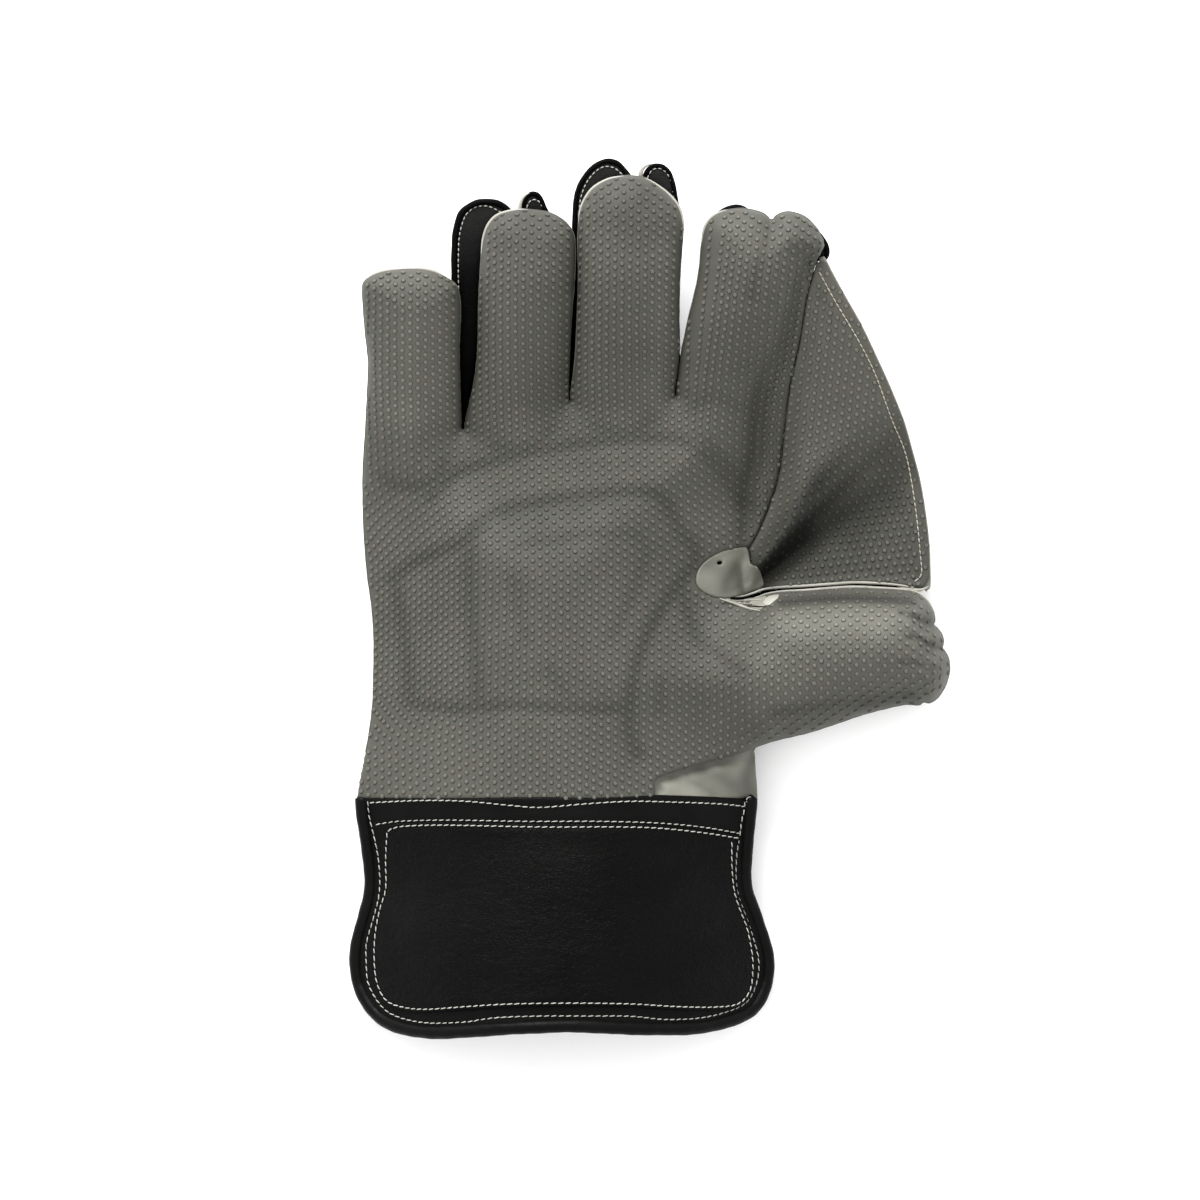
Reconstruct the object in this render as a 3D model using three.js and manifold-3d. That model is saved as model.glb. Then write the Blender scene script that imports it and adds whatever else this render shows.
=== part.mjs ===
// Wicketkeeping glove, right hand, lying on its back with the palm up.
// Millimetres, +Z up out of the palm, +Y towards the fingertips, +X towards the thumb.
// The origin is the middle of the outline, on the surface that the glove rests on.
//
// The front (rubber facings, web, patch, gusset) is cut from one curved surface and
// the back from another. Walls of leather run round each finger between the two, and
// a padded cuff with a rolled edge closes the wrist end except for its mouth.
import * as THREE from 'three';
import Module from 'manifold-3d';
import { mergeVertices } from 'three/addons/utils/BufferGeometryUtils.js';

const wasm = await Module();
wasm.setup();

// ---------------------------------------------------------------- driving sizes
const UNIT = 0.34;            // mm for one unit of the outline tables below
const MID = { x: 649.5, y: 598.5 };   // table point that becomes the origin

const FACING_T = 4.0;         // padded rubber facing
const WEB_T = 2.0;            // rubber of the web
const BACKING_T = 1.5;        // leather behind the web
const PATCH_T = 2.5;          // smooth leather patch and gusset
const SIDE_T = 2.0;           // leather walls round the fingers
const BACK_T = 3.5;           // padded leather back
const CUFF_T = 4.0;           // padded cuff, front
const PANEL_T = 1.5;          // panel sewn on the cuff
const ROLL_R = 3.2;           // rolled edge of the cuff
const GAP = 0.35;             // clearance between pieces

const WRIST_Y = 798.5;        // seam between hand and cuff
const CURL = { rise: 22, from: 475, to: 262 };   // fingers bend up between these table heights

// Heights (mm) of the front surface at its edge and at its crown.
const RIM = { finger: 20, palm: 15.5, wrist: 14.5, thumbTop: 14, thumbLow: 18 };
const CROWN = { finger: 31, palm: 44, wrist: 43, thumb: 44, mouth: 48 };
const REACH = { finger: 17, palm: 66, wrist: 68, thumb: 23 };   // edge to crown
// Heights of the under side of the back at its edge.
const UNDER = { finger: 6, palm: 3, thumb: 3, reach: 12 };
// The web: low along the thumb, with a fold that runs from the crotch to its free edge.
const WEB = { low: 13.5, lowEnd: 15, high: 24, foldNear: 8, foldFar: 24 };
const ROLL = { backZ: 3.3, backWristZ: 6.4, above: 6.9 };

// ---------------------------------------------------------------- outline tables
// Each finger: y of the two slits beside it, centre x and half width at its root,
// middle and the start of its rounded tip, and the power of the tip's curve.
const FINGERS = [
  { name: 'little', yLeft: 440, yRight: 430, yRoot: 430, yMid: 365, yCap: 298, yTip: 268.5,
    xRoot: 413, xMid: 415, xCap: 411.3, wRoot: 49, wMid: 47, wCap: 49, power: 3.2,
    bTip: 276, bxRoot: 408, bxCap: 405, bwRoot: 45, bwCap: 42 },
  { name: 'ring', yLeft: 429, yRight: 404, yRoot: 425, yMid: 340, yCap: 250, yTip: 209,
    xRoot: 517, xMid: 524.5, xCap: 528.5, wRoot: 52.5, wMid: 49, wCap: 47.5, power: 2.4,
    bTip: 200, bxRoot: 515, bxCap: 499.5, bwRoot: 50.5, bwCap: 48 },
  { name: 'middle', yLeft: 403, yRight: 398, yRoot: 403, yMid: 350, yCap: 235, yTip: 174,
    xRoot: 624.5, xMid: 626.5, xCap: 631, wRoot: 51.5, wMid: 51.5, wCap: 52.7, power: 2.0,
    bTip: 158.6, bxRoot: 622, bxCap: 627, bwRoot: 52.5, bwCap: 54 },
  { name: 'index', yLeft: 398, yRight: 398, yRoot: 398, yMid: 343, yCap: 258, yTip: 209.5,
    xRoot: 733.7, xMid: 742, xCap: 758.8, wRoot: 55.3, wMid: 59, wCap: 59.5, power: 2.6,
    bTip: 205, bxRoot: 735, bxCap: 764, bwRoot: 54, bwCap: 64 },
];
// Outer side of the palm, wrist to little finger: height y, edge of front and back.
const PALM_SIDE = [
  { y: 799, front: 356, back: 358 }, { y: 760, front: 363, back: 367 },
  { y: 720, front: 369, back: 373 }, { y: 680, front: 372, back: 376 },
  { y: 640, front: 373, back: 377 }, { y: 600, front: 370, back: 374 },
  { y: 560, front: 365, back: 369 }, { y: 520, front: 362.5, back: 366 },
  { y: 475, front: 362, back: 364 },
];
// Seam between the index finger and the web, down to the crotch.
const SEAM = [
  { x: 786.4, y: 428.5 }, { x: 781.4, y: 464 }, { x: 773.2, y: 494 },
  { x: 762.3, y: 527 }, { x: 750, y: 549 }, { x: 743, y: 570 },
];
// Thumb: upper edge, gathered tip, lower edge, then the side of the wrist.
const THUMB = [
  { x: 752, y: 597 }, { x: 781, y: 591 }, { x: 817, y: 588.5 }, { x: 854, y: 586.5 },
  { x: 886, y: 587.5 }, { x: 917, y: 591.5 }, { x: 931, y: 602 }, { x: 938, y: 624 },
  { x: 944, y: 641 }, { x: 949, y: 658 }, { x: 950.5, y: 671 }, { x: 946, y: 686 },
  { x: 937, y: 699 }, { x: 922, y: 704.5 }, { x: 891, y: 708 }, { x: 864, y: 715 },
  { x: 836, y: 724.5 }, { x: 808, y: 735.5 }, { x: 778, y: 741.5 }, { x: 755, y: 750 },
];
const WRIST_SIDE = [
  { x: 755.5, y: 768 }, { x: 757, y: 784 }, { x: 758, y: 799 },
];
// Free edge of the web, from the thumb up to the index fingertip.
const WEB_EDGE = [
  { x: 908, y: 586.5 }, { x: 927, y: 584.5 }, { x: 931.5, y: 572 }, { x: 930, y: 546 },
  { x: 926.5, y: 513.5 }, { x: 921, y: 480 }, { x: 914, y: 453 }, { x: 905, y: 422 },
  { x: 892, y: 390 }, { x: 877, y: 357 }, { x: 861, y: 324 }, { x: 844, y: 294 },
  { x: 829.5, y: 270 },
];
const PATCH = [
  { x: 748, y: 548 }, { x: 751, y: 564 }, { x: 759, y: 566 }, { x: 764, y: 582 },
  { x: 732, y: 596 }, { x: 719.5, y: 598 }, { x: 704, y: 593 }, { x: 697, y: 583 },
  { x: 700, y: 568 }, { x: 711, y: 559 }, { x: 720, y: 552.5 }, { x: 732, y: 549 },
];
const TAB = [
  { x: 723, y: 599 }, { x: 760, y: 599.5 }, { x: 781, y: 593.5 }, { x: 772, y: 606 },
  { x: 759, y: 610 },
];
const GUSSET = [
  { x: 655, y: 799 }, { x: 655, y: 778 }, { x: 685, y: 768 }, { x: 711, y: 761 },
  { x: 752, y: 750 }, { x: 754.5, y: 757 }, { x: 757, y: 799 },
];
// Edge of the cuff from the wrist on the little-finger side round to the thumb side.
const CUFF_EDGE = [
  { x: 354.5, y: 799 }, { x: 355.5, y: 815 }, { x: 360, y: 845 }, { x: 363.3, y: 872 },
  { x: 362.8, y: 894 }, { x: 357, y: 917 }, { x: 350.6, y: 940 }, { x: 348.6, y: 964 },
  { x: 352.5, y: 988 }, { x: 363, y: 1009 }, { x: 378, y: 1025 }, { x: 400, y: 1034.5 },
  { x: 429, y: 1038.8 }, { x: 465, y: 1037.5 }, { x: 510, y: 1034 }, { x: 570, y: 1031.5 },
  { x: 615, y: 1033.5 }, { x: 660, y: 1035 }, { x: 699, y: 1034 }, { x: 729, y: 1028 },
  { x: 753, y: 1018 }, { x: 766, y: 1003 }, { x: 773.6, y: 982 }, { x: 775, y: 961 },
  { x: 770.6, y: 940 }, { x: 761.7, y: 913 }, { x: 754, y: 892 }, { x: 752, y: 874 },
  { x: 753.3, y: 850 }, { x: 755.7, y: 826 }, { x: 758, y: 799 },
];
const PANEL_EDGE = [
  { x: 387, y: 828 }, { x: 385.5, y: 859 }, { x: 385.5, y: 889 }, { x: 379.5, y: 910 },
  { x: 375, y: 934 }, { x: 374, y: 958 }, { x: 376.5, y: 982 }, { x: 385.5, y: 1000 },
  { x: 402, y: 1007 }, { x: 426, y: 1009 }, { x: 465, y: 1006 }, { x: 510, y: 1003 },
  { x: 570, y: 1002 }, { x: 630, y: 1003 }, { x: 675, y: 1006 }, { x: 714, y: 1007 },
  { x: 738, y: 1004 }, { x: 750, y: 991 }, { x: 753, y: 970 }, { x: 752, y: 952 },
  { x: 747, y: 928 }, { x: 739, y: 907 }, { x: 734, y: 889 }, { x: 732, y: 865 },
  { x: 734, y: 836 }, { x: 660, y: 828 }, { x: 540, y: 826 }, { x: 450, y: 825 },
];

// ---------------------------------------------------------------- small helpers
const X = (x) => (x - MID.x) * UNIT;
const Y = (y) => (MID.y - y) * UNIT;
const place = (row) => [X(row.x), Y(row.y)];
const clamp = (v, a, b) => Math.min(b, Math.max(a, v));
const mix = (a, b, t) => a + (b - a) * t;
const ease = (a, b, v) => { const t = clamp((v - a) / (b - a), 0, 1); return t * t * (3 - 2 * t); };

// Smooth value of three stations along a finger.
function along(y, y0, y1, y2, a0, a1, a2) {
  const curve = new THREE.CatmullRomCurve3([
    new THREE.Vector3(a0, 0, 0), new THREE.Vector3(a1, 0, 0), new THREE.Vector3(a2, 0, 0)]);
  const t = y > y1 ? 0.5 * (y0 - y) / (y0 - y1) : 0.5 + 0.5 * (y1 - y) / (y1 - y2);
  return curve.getPoint(clamp(t, 0, 1)).x;
}

// Outline of one finger on the front (side = +0) or the back, left slit to right slit.
const SIDE_STEPS = 3, CAP_STEPS = 8;
function fingerOutline(f, back) {
  const tip = back ? f.bTip : f.yTip;
  const capY = back ? f.bTip + (f.yCap - f.yTip) + 6 : f.yCap;
  const at = (y) => back
    ? { c: mix(f.bxRoot, f.bxCap, clamp((f.yRoot - y) / (f.yRoot - capY), 0, 1)),
        w: mix(f.bwRoot, f.bwCap, clamp((f.yRoot - y) / (f.yRoot - capY), 0, 1)) }
    : { c: along(y, f.yRoot, f.yMid, f.yCap, f.xRoot, f.xMid, f.xCap),
        w: along(y, f.yRoot, f.yMid, f.yCap, f.wRoot, f.wMid, f.wCap) };
  const pts = [];
  for (let i = 0; i < SIDE_STEPS; i++) {
    const y = mix(f.yLeft, capY, i / SIDE_STEPS);
    const s = at(y);
    pts.push([X(s.c - s.w), Y(y)]);
  }
  for (let i = 0; i <= CAP_STEPS; i++) {
    const a = Math.PI * (1 - i / CAP_STEPS), s = at(capY);
    const cx = Math.sign(Math.cos(a)) * Math.abs(Math.cos(a)) ** (2 / f.power);
    const sy = Math.abs(Math.sin(a)) ** (2 / f.power);
    pts.push([X(s.c + s.w * cx), Y(capY - (capY - tip) * sy)]);
  }
  for (let i = SIDE_STEPS - 1; i >= 0; i--) {
    const y = mix(f.yRight, capY, i / SIDE_STEPS);
    const s = at(y);
    pts.push([X(s.c + s.w), Y(y)]);
  }
  return pts;
}

// Moves a path sideways; positive is to the right of its direction.
function shift(path, d, closed) {
  const n = path.length;
  return path.map((p, i) => {
    const a = closed ? path[(i + n - 1) % n] : path[Math.max(0, i - 1)];
    const b = closed ? path[(i + 1) % n] : path[Math.min(n - 1, i + 1)];
    const u = [p[0] - a[0], p[1] - a[1]], v = [b[0] - p[0], b[1] - p[1]];
    const lu = Math.hypot(...u) || 1, lv = Math.hypot(...v) || 1;
    const nx = u[1] / lu + v[1] / lv, ny = -u[0] / lu - v[0] / lv;
    const l = Math.hypot(nx, ny) || 1;
    const cosHalf = clamp(l / 2, 0.6, 1);
    return [p[0] + nx / l * d / cosHalf, p[1] + ny / l * d / cosHalf];
  });
}
const area = (poly) => poly.reduce((s, p, i) => {
  const q = poly[(i + 1) % poly.length];
  return s + (p[0] * q[1] - q[0] * p[1]) / 2;
}, 0);
// Grows (positive) or shrinks a closed outline.
const grow = (poly, d) => shift(poly, area(poly) > 0 ? d : -d, true);

function inside(poly, x, y) {
  let hit = false;
  for (let i = 0, j = poly.length - 1; i < poly.length; j = i++) {
    const [xi, yi] = poly[i], [xj, yj] = poly[j];
    if ((yi > y) !== (yj > y) && x < (xj - xi) * (y - yi) / (yj - yi) + xi) hit = !hit;
  }
  return hit;
}
function toPath(path, x, y) {
  let best = Infinity;
  for (let i = 0; i + 1 < path.length; i++) {
    const [ax, ay] = path[i], [bx, by] = path[i + 1];
    const dx = bx - ax, dy = by - ay;
    const t = clamp(((x - ax) * dx + (y - ay) * dy) / (dx * dx + dy * dy), 0, 1);
    best = Math.min(best, Math.hypot(x - ax - t * dx, y - ay - t * dy));
  }
  return best;
}

// ---------------------------------------------------------------- whole outlines
const palmFront = PALM_SIDE.map((r) => [X(r.front), Y(r.y)]);
const palmBack = PALM_SIDE.map((r) => [X(r.back), Y(r.y)]);
const seam = SEAM.map(place);
const thumb = THUMB.map(place);
const wristSide = WRIST_SIDE.map(place);
const fronts = FINGERS.map((f) => fingerOutline(f, false));
const backs = FINGERS.map((f) => fingerOutline(f, true));
const thumbBack = shift(thumb, 1.8, false);
const wristBack = shift(wristSide, 0.8, false);

// Open paths from the wrist round the hand and back to the wrist.
const frontPath = [...palmFront, ...fronts.flat(), ...seam, ...thumb, ...wristSide];
const backPath = [...palmBack, ...backs.flat(), ...seam, ...thumbBack, ...wristBack];
// The same outlines, run on past the wrist, where the hand is open.
const openEnd = [[X(758), Y(860)], [X(356), Y(860)]];
const frontRegion = [...frontPath, ...openEnd], backRegion = [...backPath, ...openEnd];

// ---------------------------------------------------------------- height of the surfaces
const tableY = (y) => MID.y - y / UNIT, tableX = (x) => MID.x + x / UNIT;
const curl = (ty) => CURL.rise * ease(-CURL.from, -CURL.to, -ty);
const thumbness = (tx, ty) => ease(690, 780, tx) * ease(540, 600, ty) * (1 - ease(745, 790, ty));

function webHeight(tx, ty) {
  // Low along the thumb, rising over a steep band to a flat part beside the index finger.
  const across = ((ty - 572) * 0.72 + (tx - 766) * 0.69) * UNIT;   // + towards the thumb side
  const run = clamp(((tx - 766) * 0.72 - (ty - 572) * 0.69) / 200, 0, 1);
  const width = mix(WEB.foldNear, WEB.foldFar, run);
  const low = mix(WEB.low, WEB.lowEnd, ease(760, 920, tx)) + 3 * ease(586, 500, ty);
  const high = WEB.high + 0.85 * curl(ty);
  return mix(high, low, ease(-width * 0.6, width * 0.6, across));
}
function frontHeight(x, y) {
  const tx = tableX(x), ty = tableY(y);
  const k = thumbness(tx, ty), w = ease(640, 797, ty), p = ease(400, 520, ty);
  const rimThumb = mix(RIM.thumbTop, RIM.thumbLow, ease(600, 740, ty));
  const rim = mix(mix(mix(RIM.finger, RIM.palm, p), RIM.wrist, w), rimThumb, k) + curl(ty);
  if (!inside(frontRegion, x, y)) {
    const seamZ = mix(mix(RIM.finger, RIM.palm, p), RIM.thumbTop, ease(530, 590, ty)) + curl(ty);
    if (tx > 740 && ty < 600 && ty > 200) {
      const near = toPath([...fronts[3].slice(-SIDE_STEPS - 1), ...seam], x, y);
      return mix(seamZ, webHeight(tx, ty), ease(0, 9, near));
    }
    return rim;
  }
  const crown = mix(mix(mix(CROWN.finger, CROWN.palm, p), CROWN.wrist, w), CROWN.thumb, k) + curl(ty);
  const reach = mix(mix(mix(REACH.finger, REACH.palm, p), REACH.wrist, w), REACH.thumb, k);
  const t = clamp(toPath(frontPath, x, y) / reach, 0, 1);
  const round = Math.sqrt(1 - (1 - t) ** 2), soft = Math.sin(t * Math.PI / 2);
  return rim + (crown - rim) * mix(round, soft, p * (1 - k));
}
function backHeight(x, y) {
  const ty = tableY(y);
  const rim = mix(UNDER.finger, UNDER.palm, ease(400, 520, ty));
  const d = inside(backRegion, x, y) ? toPath(backPath, x, y) : 0;
  const t = clamp(d / UNDER.reach, 0, 1);
  return curl(ty) + rim * (1 - Math.sin(t * Math.PI / 2));
}
const cuffMid = X(562);
function cuffHeight(x, y) {
  const ty = tableY(y);
  const half = mix(68.5, 69.5, ease(880, 960, ty)) - mix(0, 3, ease(830, 880, ty)) * (1 - ease(880, 950, ty));
  const rim = mix(RIM.wrist, 11.5, ease(799, 860, ty));
  const crown = mix(CROWN.wrist, CROWN.mouth, ease(799, 1035, ty));
  const u = clamp((x - cuffMid) / half, -1, 1);
  return rim + (crown - rim) * Math.cos(u * Math.PI / 2);
}
function cuffUnder(x, y) {
  const ty = tableY(y);
  const d = Math.max(0, 69 - Math.abs(x - cuffMid));
  const t = clamp(d / UNDER.reach, 0, 1);
  return UNDER.palm * (1 - Math.sin(t * Math.PI / 2)) * (1 - ease(800, 860, ty));
}

// ---------------------------------------------------------------- solids
function toSolid(geometry) {
  const g = geometry.clone();
  g.deleteAttribute('normal');
  g.deleteAttribute('uv');
  const m = mergeVertices(g.index ? g : g, 1e-5);
  return new wasm.Manifold(new wasm.Mesh({ numProp: 3,
    vertProperties: new Float32Array(m.attributes.position.array),
    triVerts: new Uint32Array(m.index.array) }));
}
// Closed slab between two height functions over a rectangle.
function slab(box, top, bottom) {
  const { x0, x1, nx, y0, y1, ny } = box;
  const pos = [], idx = [], row = nx + 1, layer = row * (ny + 1);
  for (const height of [top, bottom]) {
    for (let j = 0; j <= ny; j++) {
      for (let i = 0; i <= nx; i++) {
        const x = mix(x0, x1, i / nx), y = mix(y0, y1, j / ny);
        pos.push(x, y, height(x, y));
      }
    }
  }
  const quad = (a, b, c, d) => idx.push(a, b, c, a, c, d);
  for (let j = 0; j < ny; j++) {
    for (let i = 0; i < nx; i++) {
      const a = j * row + i;
      quad(a, a + 1, a + row + 1, a + row);
      const b = a + layer;
      idx.push(b, b + row + 1, b + 1, b, b + row, b + row + 1);
    }
  }
  for (let i = 0; i < nx; i++) {
    const s = i, n = ny * row + i;
    quad(s + layer, s + 1 + layer, s + 1, s);
    quad(n + 1 + layer, n + layer, n, n + 1);
  }
  for (let j = 0; j < ny; j++) {
    const w = j * row, e = j * row + nx;
    quad(w + row + layer, w + layer, w, w + row);
    quad(e + layer, e + row + layer, e + row, e);
  }
  const g = new THREE.BufferGeometry();
  g.setAttribute('position', new THREE.Float32BufferAttribute(pos, 3));
  g.setIndex(idx);
  return toSolid(g);
}
// Upright prism of a closed outline.
function prism(poly, z0 = -30, z1 = 120) {
  const shape = new THREE.Shape(poly.map((p) => new THREE.Vector2(p[0], p[1])));
  const g = new THREE.ExtrudeGeometry(shape, { depth: z1 - z0, bevelEnabled: false, steps: 1 });
  g.translate(0, 0, z0);
  return toSolid(g);
}
// Upright wall between a front path and a back path, its thickness inwards (right).
function wall(front, back, zTop, zBottom) {
  const f0 = shift(front, 0.2, false), f1 = shift(front, 0.2 + SIDE_T, false);
  const b0 = shift(back, 0.2, false), b1 = shift(back, 0.2 + SIDE_T, false);
  const pos = [], idx = [], n = front.length;
  for (let i = 0; i < n; i++) {
    const zt = zTop(...front[i]), zb = zBottom(...back[i]);
    pos.push(f0[i][0], f0[i][1], zt, f1[i][0], f1[i][1], zt,
      b1[i][0], b1[i][1], zb, b0[i][0], b0[i][1], zb);
  }
  for (let i = 0; i + 1 < n; i++) {
    for (let k = 0; k < 4; k++) {
      const a = i * 4 + k, b = i * 4 + (k + 1) % 4;
      idx.push(a, b, b + 4, a, b + 4, a + 4);
    }
  }
  const e = (n - 1) * 4;
  idx.push(0, 2, 1, 0, 3, 2, e, e + 1, e + 2, e, e + 2, e + 3);
  const g = new THREE.BufferGeometry();
  g.setAttribute('position', new THREE.Float32BufferAttribute(pos, 3));
  g.setIndex(idx);
  return toSolid(g);
}
// Round roll along a path of 3-D points.
function roll(points, radius, steps) {
  const path = new THREE.CatmullRomCurve3(points);
  const ring = new THREE.Shape();
  const sides = 8;
  for (let i = 0; i < sides; i++) {
    const a = 2 * Math.PI * i / sides;
    ring[i ? 'lineTo' : 'moveTo'](radius * Math.cos(a), radius * Math.sin(a));
  }
  ring.closePath();
  return toSolid(new THREE.ExtrudeGeometry(ring, { steps, extrudePath: path, bevelEnabled: false }));
}

// ---------------------------------------------------------------- the hand
const HAND = { x0: -104, x1: 104, nx: 27, y0: Y(WRIST_Y) - 0.5, y1: 153, ny: 18 };
const BACK = { x0: -104, x1: 104, nx: 20, y0: Y(WRIST_Y) - 0.5, y1: 153, ny: 13 };
const handFront = slab(HAND, frontHeight, (x, y) => frontHeight(x, y) - FACING_T);
const thinFront = slab(HAND, frontHeight, (x, y) => frontHeight(x, y) - PATCH_T);
const webFront = slab(HAND, frontHeight, (x, y) => frontHeight(x, y) - WEB_T);
const webBehind = slab(HAND, (x, y) => frontHeight(x, y) - WEB_T - GAP - 0.2,
  (x, y) => frontHeight(x, y) - WEB_T - GAP - 0.2 - BACKING_T);
const tabSlab = slab(HAND, (x, y) => frontHeight(x, y) + GAP + 1.8, (x, y) => frontHeight(x, y) + GAP + 0.3);
const overFront = slab(HAND, () => 110, (x, y) => frontHeight(x, y) - FACING_T - 0.35 - GAP);
const handBack = slab(BACK, (x, y) => backHeight(x, y) + BACK_T, backHeight);
const underBack = slab(BACK, (x, y) => backHeight(x, y) + BACK_T + GAP, () => -20);

const handSide = prism([[-120, Y(WRIST_Y) + GAP], [120, Y(WRIST_Y) + GAP], [120, 160], [-120, 160]]);
const frontOutline = frontPath;
const patch = PATCH.map(place), tab = TAB.map(place), gusset = GUSSET.map(place);
const webOutline = [...fronts[3].slice(-(SIDE_STEPS + 1)), ...seam, ...thumb.slice(0, 5),
  ...WEB_EDGE.map(place)];

const facing = handFront.intersect(prism(grow(frontOutline, -0.5))).intersect(handSide)
  .subtract(prism(grow(patch, GAP))).subtract(prism(grow(gusset, GAP)));
const gussetPiece = thinFront.intersect(prism(grow(gusset, -0.1))).intersect(handSide);
const patchPiece = thinFront.intersect(prism(patch));
const tabPiece = tabSlab.intersect(prism(tab));
const webCut = prism(grow(patch, GAP)).add(prism(grow(frontOutline, 0.15)));
const webPiece = webFront.intersect(prism(grow(webOutline, -0.9))).subtract(webCut);
const webBackPiece = webBehind.intersect(prism(grow(webOutline, -0.2))).subtract(webCut);

const overWall = (x, y) => frontHeight(x, y) + 1;
const underWall = (x, y) => backHeight(x, y) - 1;
const sides = {
  side_little: [[...palmFront, ...fronts[0]], [...palmBack, ...backs[0]]],
  side_ring: [fronts[1], backs[1]],
  side_middle: [fronts[2], backs[2]],
  side_index: [[...fronts[3], ...seam], [...backs[3], ...seam]],
  side_thumb: [[...thumb, ...wristSide], [...thumbBack, ...wristBack]],
};
const wallPieces = Object.entries(sides).map(([name, [f, b]]) => [name,
  wall(f, b, overWall, underWall).subtract(overFront).subtract(underBack).intersect(handSide)]);

const backPieces = FINGERS.map((f, i) => [`back_${f.name}`,
  handBack.intersect(prism(grow(backs[i], -0.3)))]);
const handBackOutline = [...palmBack, [X(364), Y(442)], [X(410), Y(434)], [X(463), Y(432)],
  [X(516), Y(431)], [X(567), Y(408)], [X(624), Y(406)], [X(677), Y(401)], [X(735), Y(400.5)],
  [X(788), Y(400.5)], ...seam, [X(748), Y(600)], [X(748), Y(746)], ...wristBack];
const fingerCut = backs.map((b) => prism(grow(b, 0.1)));
let handBackPiece = handBack.intersect(prism(grow(handBackOutline, -0.3))).intersect(handSide);
for (const cut of fingerCut) handBackPiece = handBackPiece.subtract(cut);
const thumbBackPiece = handBack.intersect(prism(grow([...thumbBack.slice(0, -1),
  [X(752), Y(745)], [X(750), Y(700)], [X(750), Y(640)]], -0.3)));

// ---------------------------------------------------------------- the cuff
const CUFF = { x0: -104, x1: 46, nx: 14, y0: -152, y1: Y(WRIST_Y), ny: 5 };
const cuffEdge = CUFF_EDGE.map(place);
const cuffTop = [[X(757), Y(780)], [X(356), Y(780)]];
const cuffOutline = [...cuffEdge, ...cuffTop];
const rollRun = cuffEdge.map((p, i) => (i === 0 || i === cuffEdge.length - 1 ? [p[0], p[1] + 3] : p));
const rollLine = shift(rollRun, -ROLL_R - 0.1, false);
const rollBackZ = (ty) => mix(ROLL.backWristZ, ROLL.backZ, ease(799, 870, ty));
const ROLL_STEPS = 34;
const rollPoint = (p, z) => new THREE.Vector3(p[0], p[1], z);
const frontRollLine = rollLine.map((p) => rollPoint(p,
  Math.max(rollBackZ(tableY(p[1])) + ROLL.above, cuffHeight(p[0], p[1]) - 1.2)));
const backRollLine = rollLine.map((p) => rollPoint(p, rollBackZ(tableY(p[1]))));
const belowSeam = prism([[-120, Y(800.2)], [-120, -170], [60, -170], [60, Y(800.2)]]);
const frontRoll = roll(frontRollLine, ROLL_R, ROLL_STEPS).intersect(belowSeam);
const backRoll = roll(backRollLine, ROLL_R, ROLL_STEPS).intersect(belowSeam);
const withinRoll = prism(grow(cuffOutline, -ROLL_R - 1));
const cuffFront = slab(CUFF, cuffHeight, (x, y) => cuffHeight(x, y) - CUFF_T)
  .intersect(withinRoll)
  .subtract(roll(frontRollLine, ROLL_R + GAP + 0.1, ROLL_STEPS))
  .subtract(roll(backRollLine, ROLL_R + GAP + 0.1, ROLL_STEPS));
const cuffPanel = slab(CUFF, (x, y) => cuffHeight(x, y) + GAP + PANEL_T, (x, y) => cuffHeight(x, y) + GAP)
  .intersect(prism(PANEL_EDGE.map(place)))
  .subtract(roll(frontRollLine, ROLL_R + GAP + 0.1, ROLL_STEPS));
const cuffBack = slab(CUFF, (x, y) => cuffUnder(x, y) + BACK_T, cuffUnder)
  .intersect(withinRoll)
  .subtract(roll(backRollLine, ROLL_R + GAP + 0.1, ROLL_STEPS))
  .subtract(roll(frontRollLine, ROLL_R + GAP + 0.1, ROLL_STEPS));

// ---------------------------------------------------------------- scene graph
const material = (color, roughness) => new THREE.MeshStandardMaterial({ color, roughness, metalness: 0 });
const RUBBER = material(0x6a6a62, 0.75);
const GREY = material(0x8f8f84, 0.6);
const WHITE = material(0xd8d6cc, 0.6);
const BLACK = material(0x161616, 0.5);
const PANEL = material(0x1c1c1c, 0.65);

const group = new THREE.Group();
function addPiece(name, solid, mat) {
  const m = solid.getMesh();
  const g = new THREE.BufferGeometry();
  g.setAttribute('position', new THREE.BufferAttribute(new Float32Array(m.vertProperties), 3));
  g.setIndex(new THREE.BufferAttribute(new Uint32Array(m.triVerts), 1));
  const mesh = new THREE.Mesh(g, mat);
  mesh.name = name;
  group.add(mesh);
}
addPiece('palm_facing', facing, RUBBER);
addPiece('web_facing', webPiece, RUBBER);
addPiece('web_backing', webBackPiece, WHITE);
addPiece('crotch_patch', patchPiece, GREY);
addPiece('seam_tab', tabPiece, WHITE);
addPiece('wrist_gusset', gussetPiece, GREY);
for (const [name, solid] of wallPieces) addPiece(name, solid, GREY);
addPiece('hand_back', handBackPiece, BLACK);
for (const [name, solid] of backPieces) addPiece(name, solid, BLACK);
addPiece('back_thumb', thumbBackPiece, BLACK);
addPiece('cuff_front', cuffFront, BLACK);
addPiece('cuff_panel', cuffPanel, PANEL);
addPiece('cuff_front_roll', frontRoll, BLACK);
addPiece('cuff_back', cuffBack, BLACK);
addPiece('cuff_back_roll', backRoll, BLACK);

export default group;
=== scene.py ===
import math

import bpy
import numpy as np
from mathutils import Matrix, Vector
from mathutils.geometry import delaunay_2d_cdt


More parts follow.
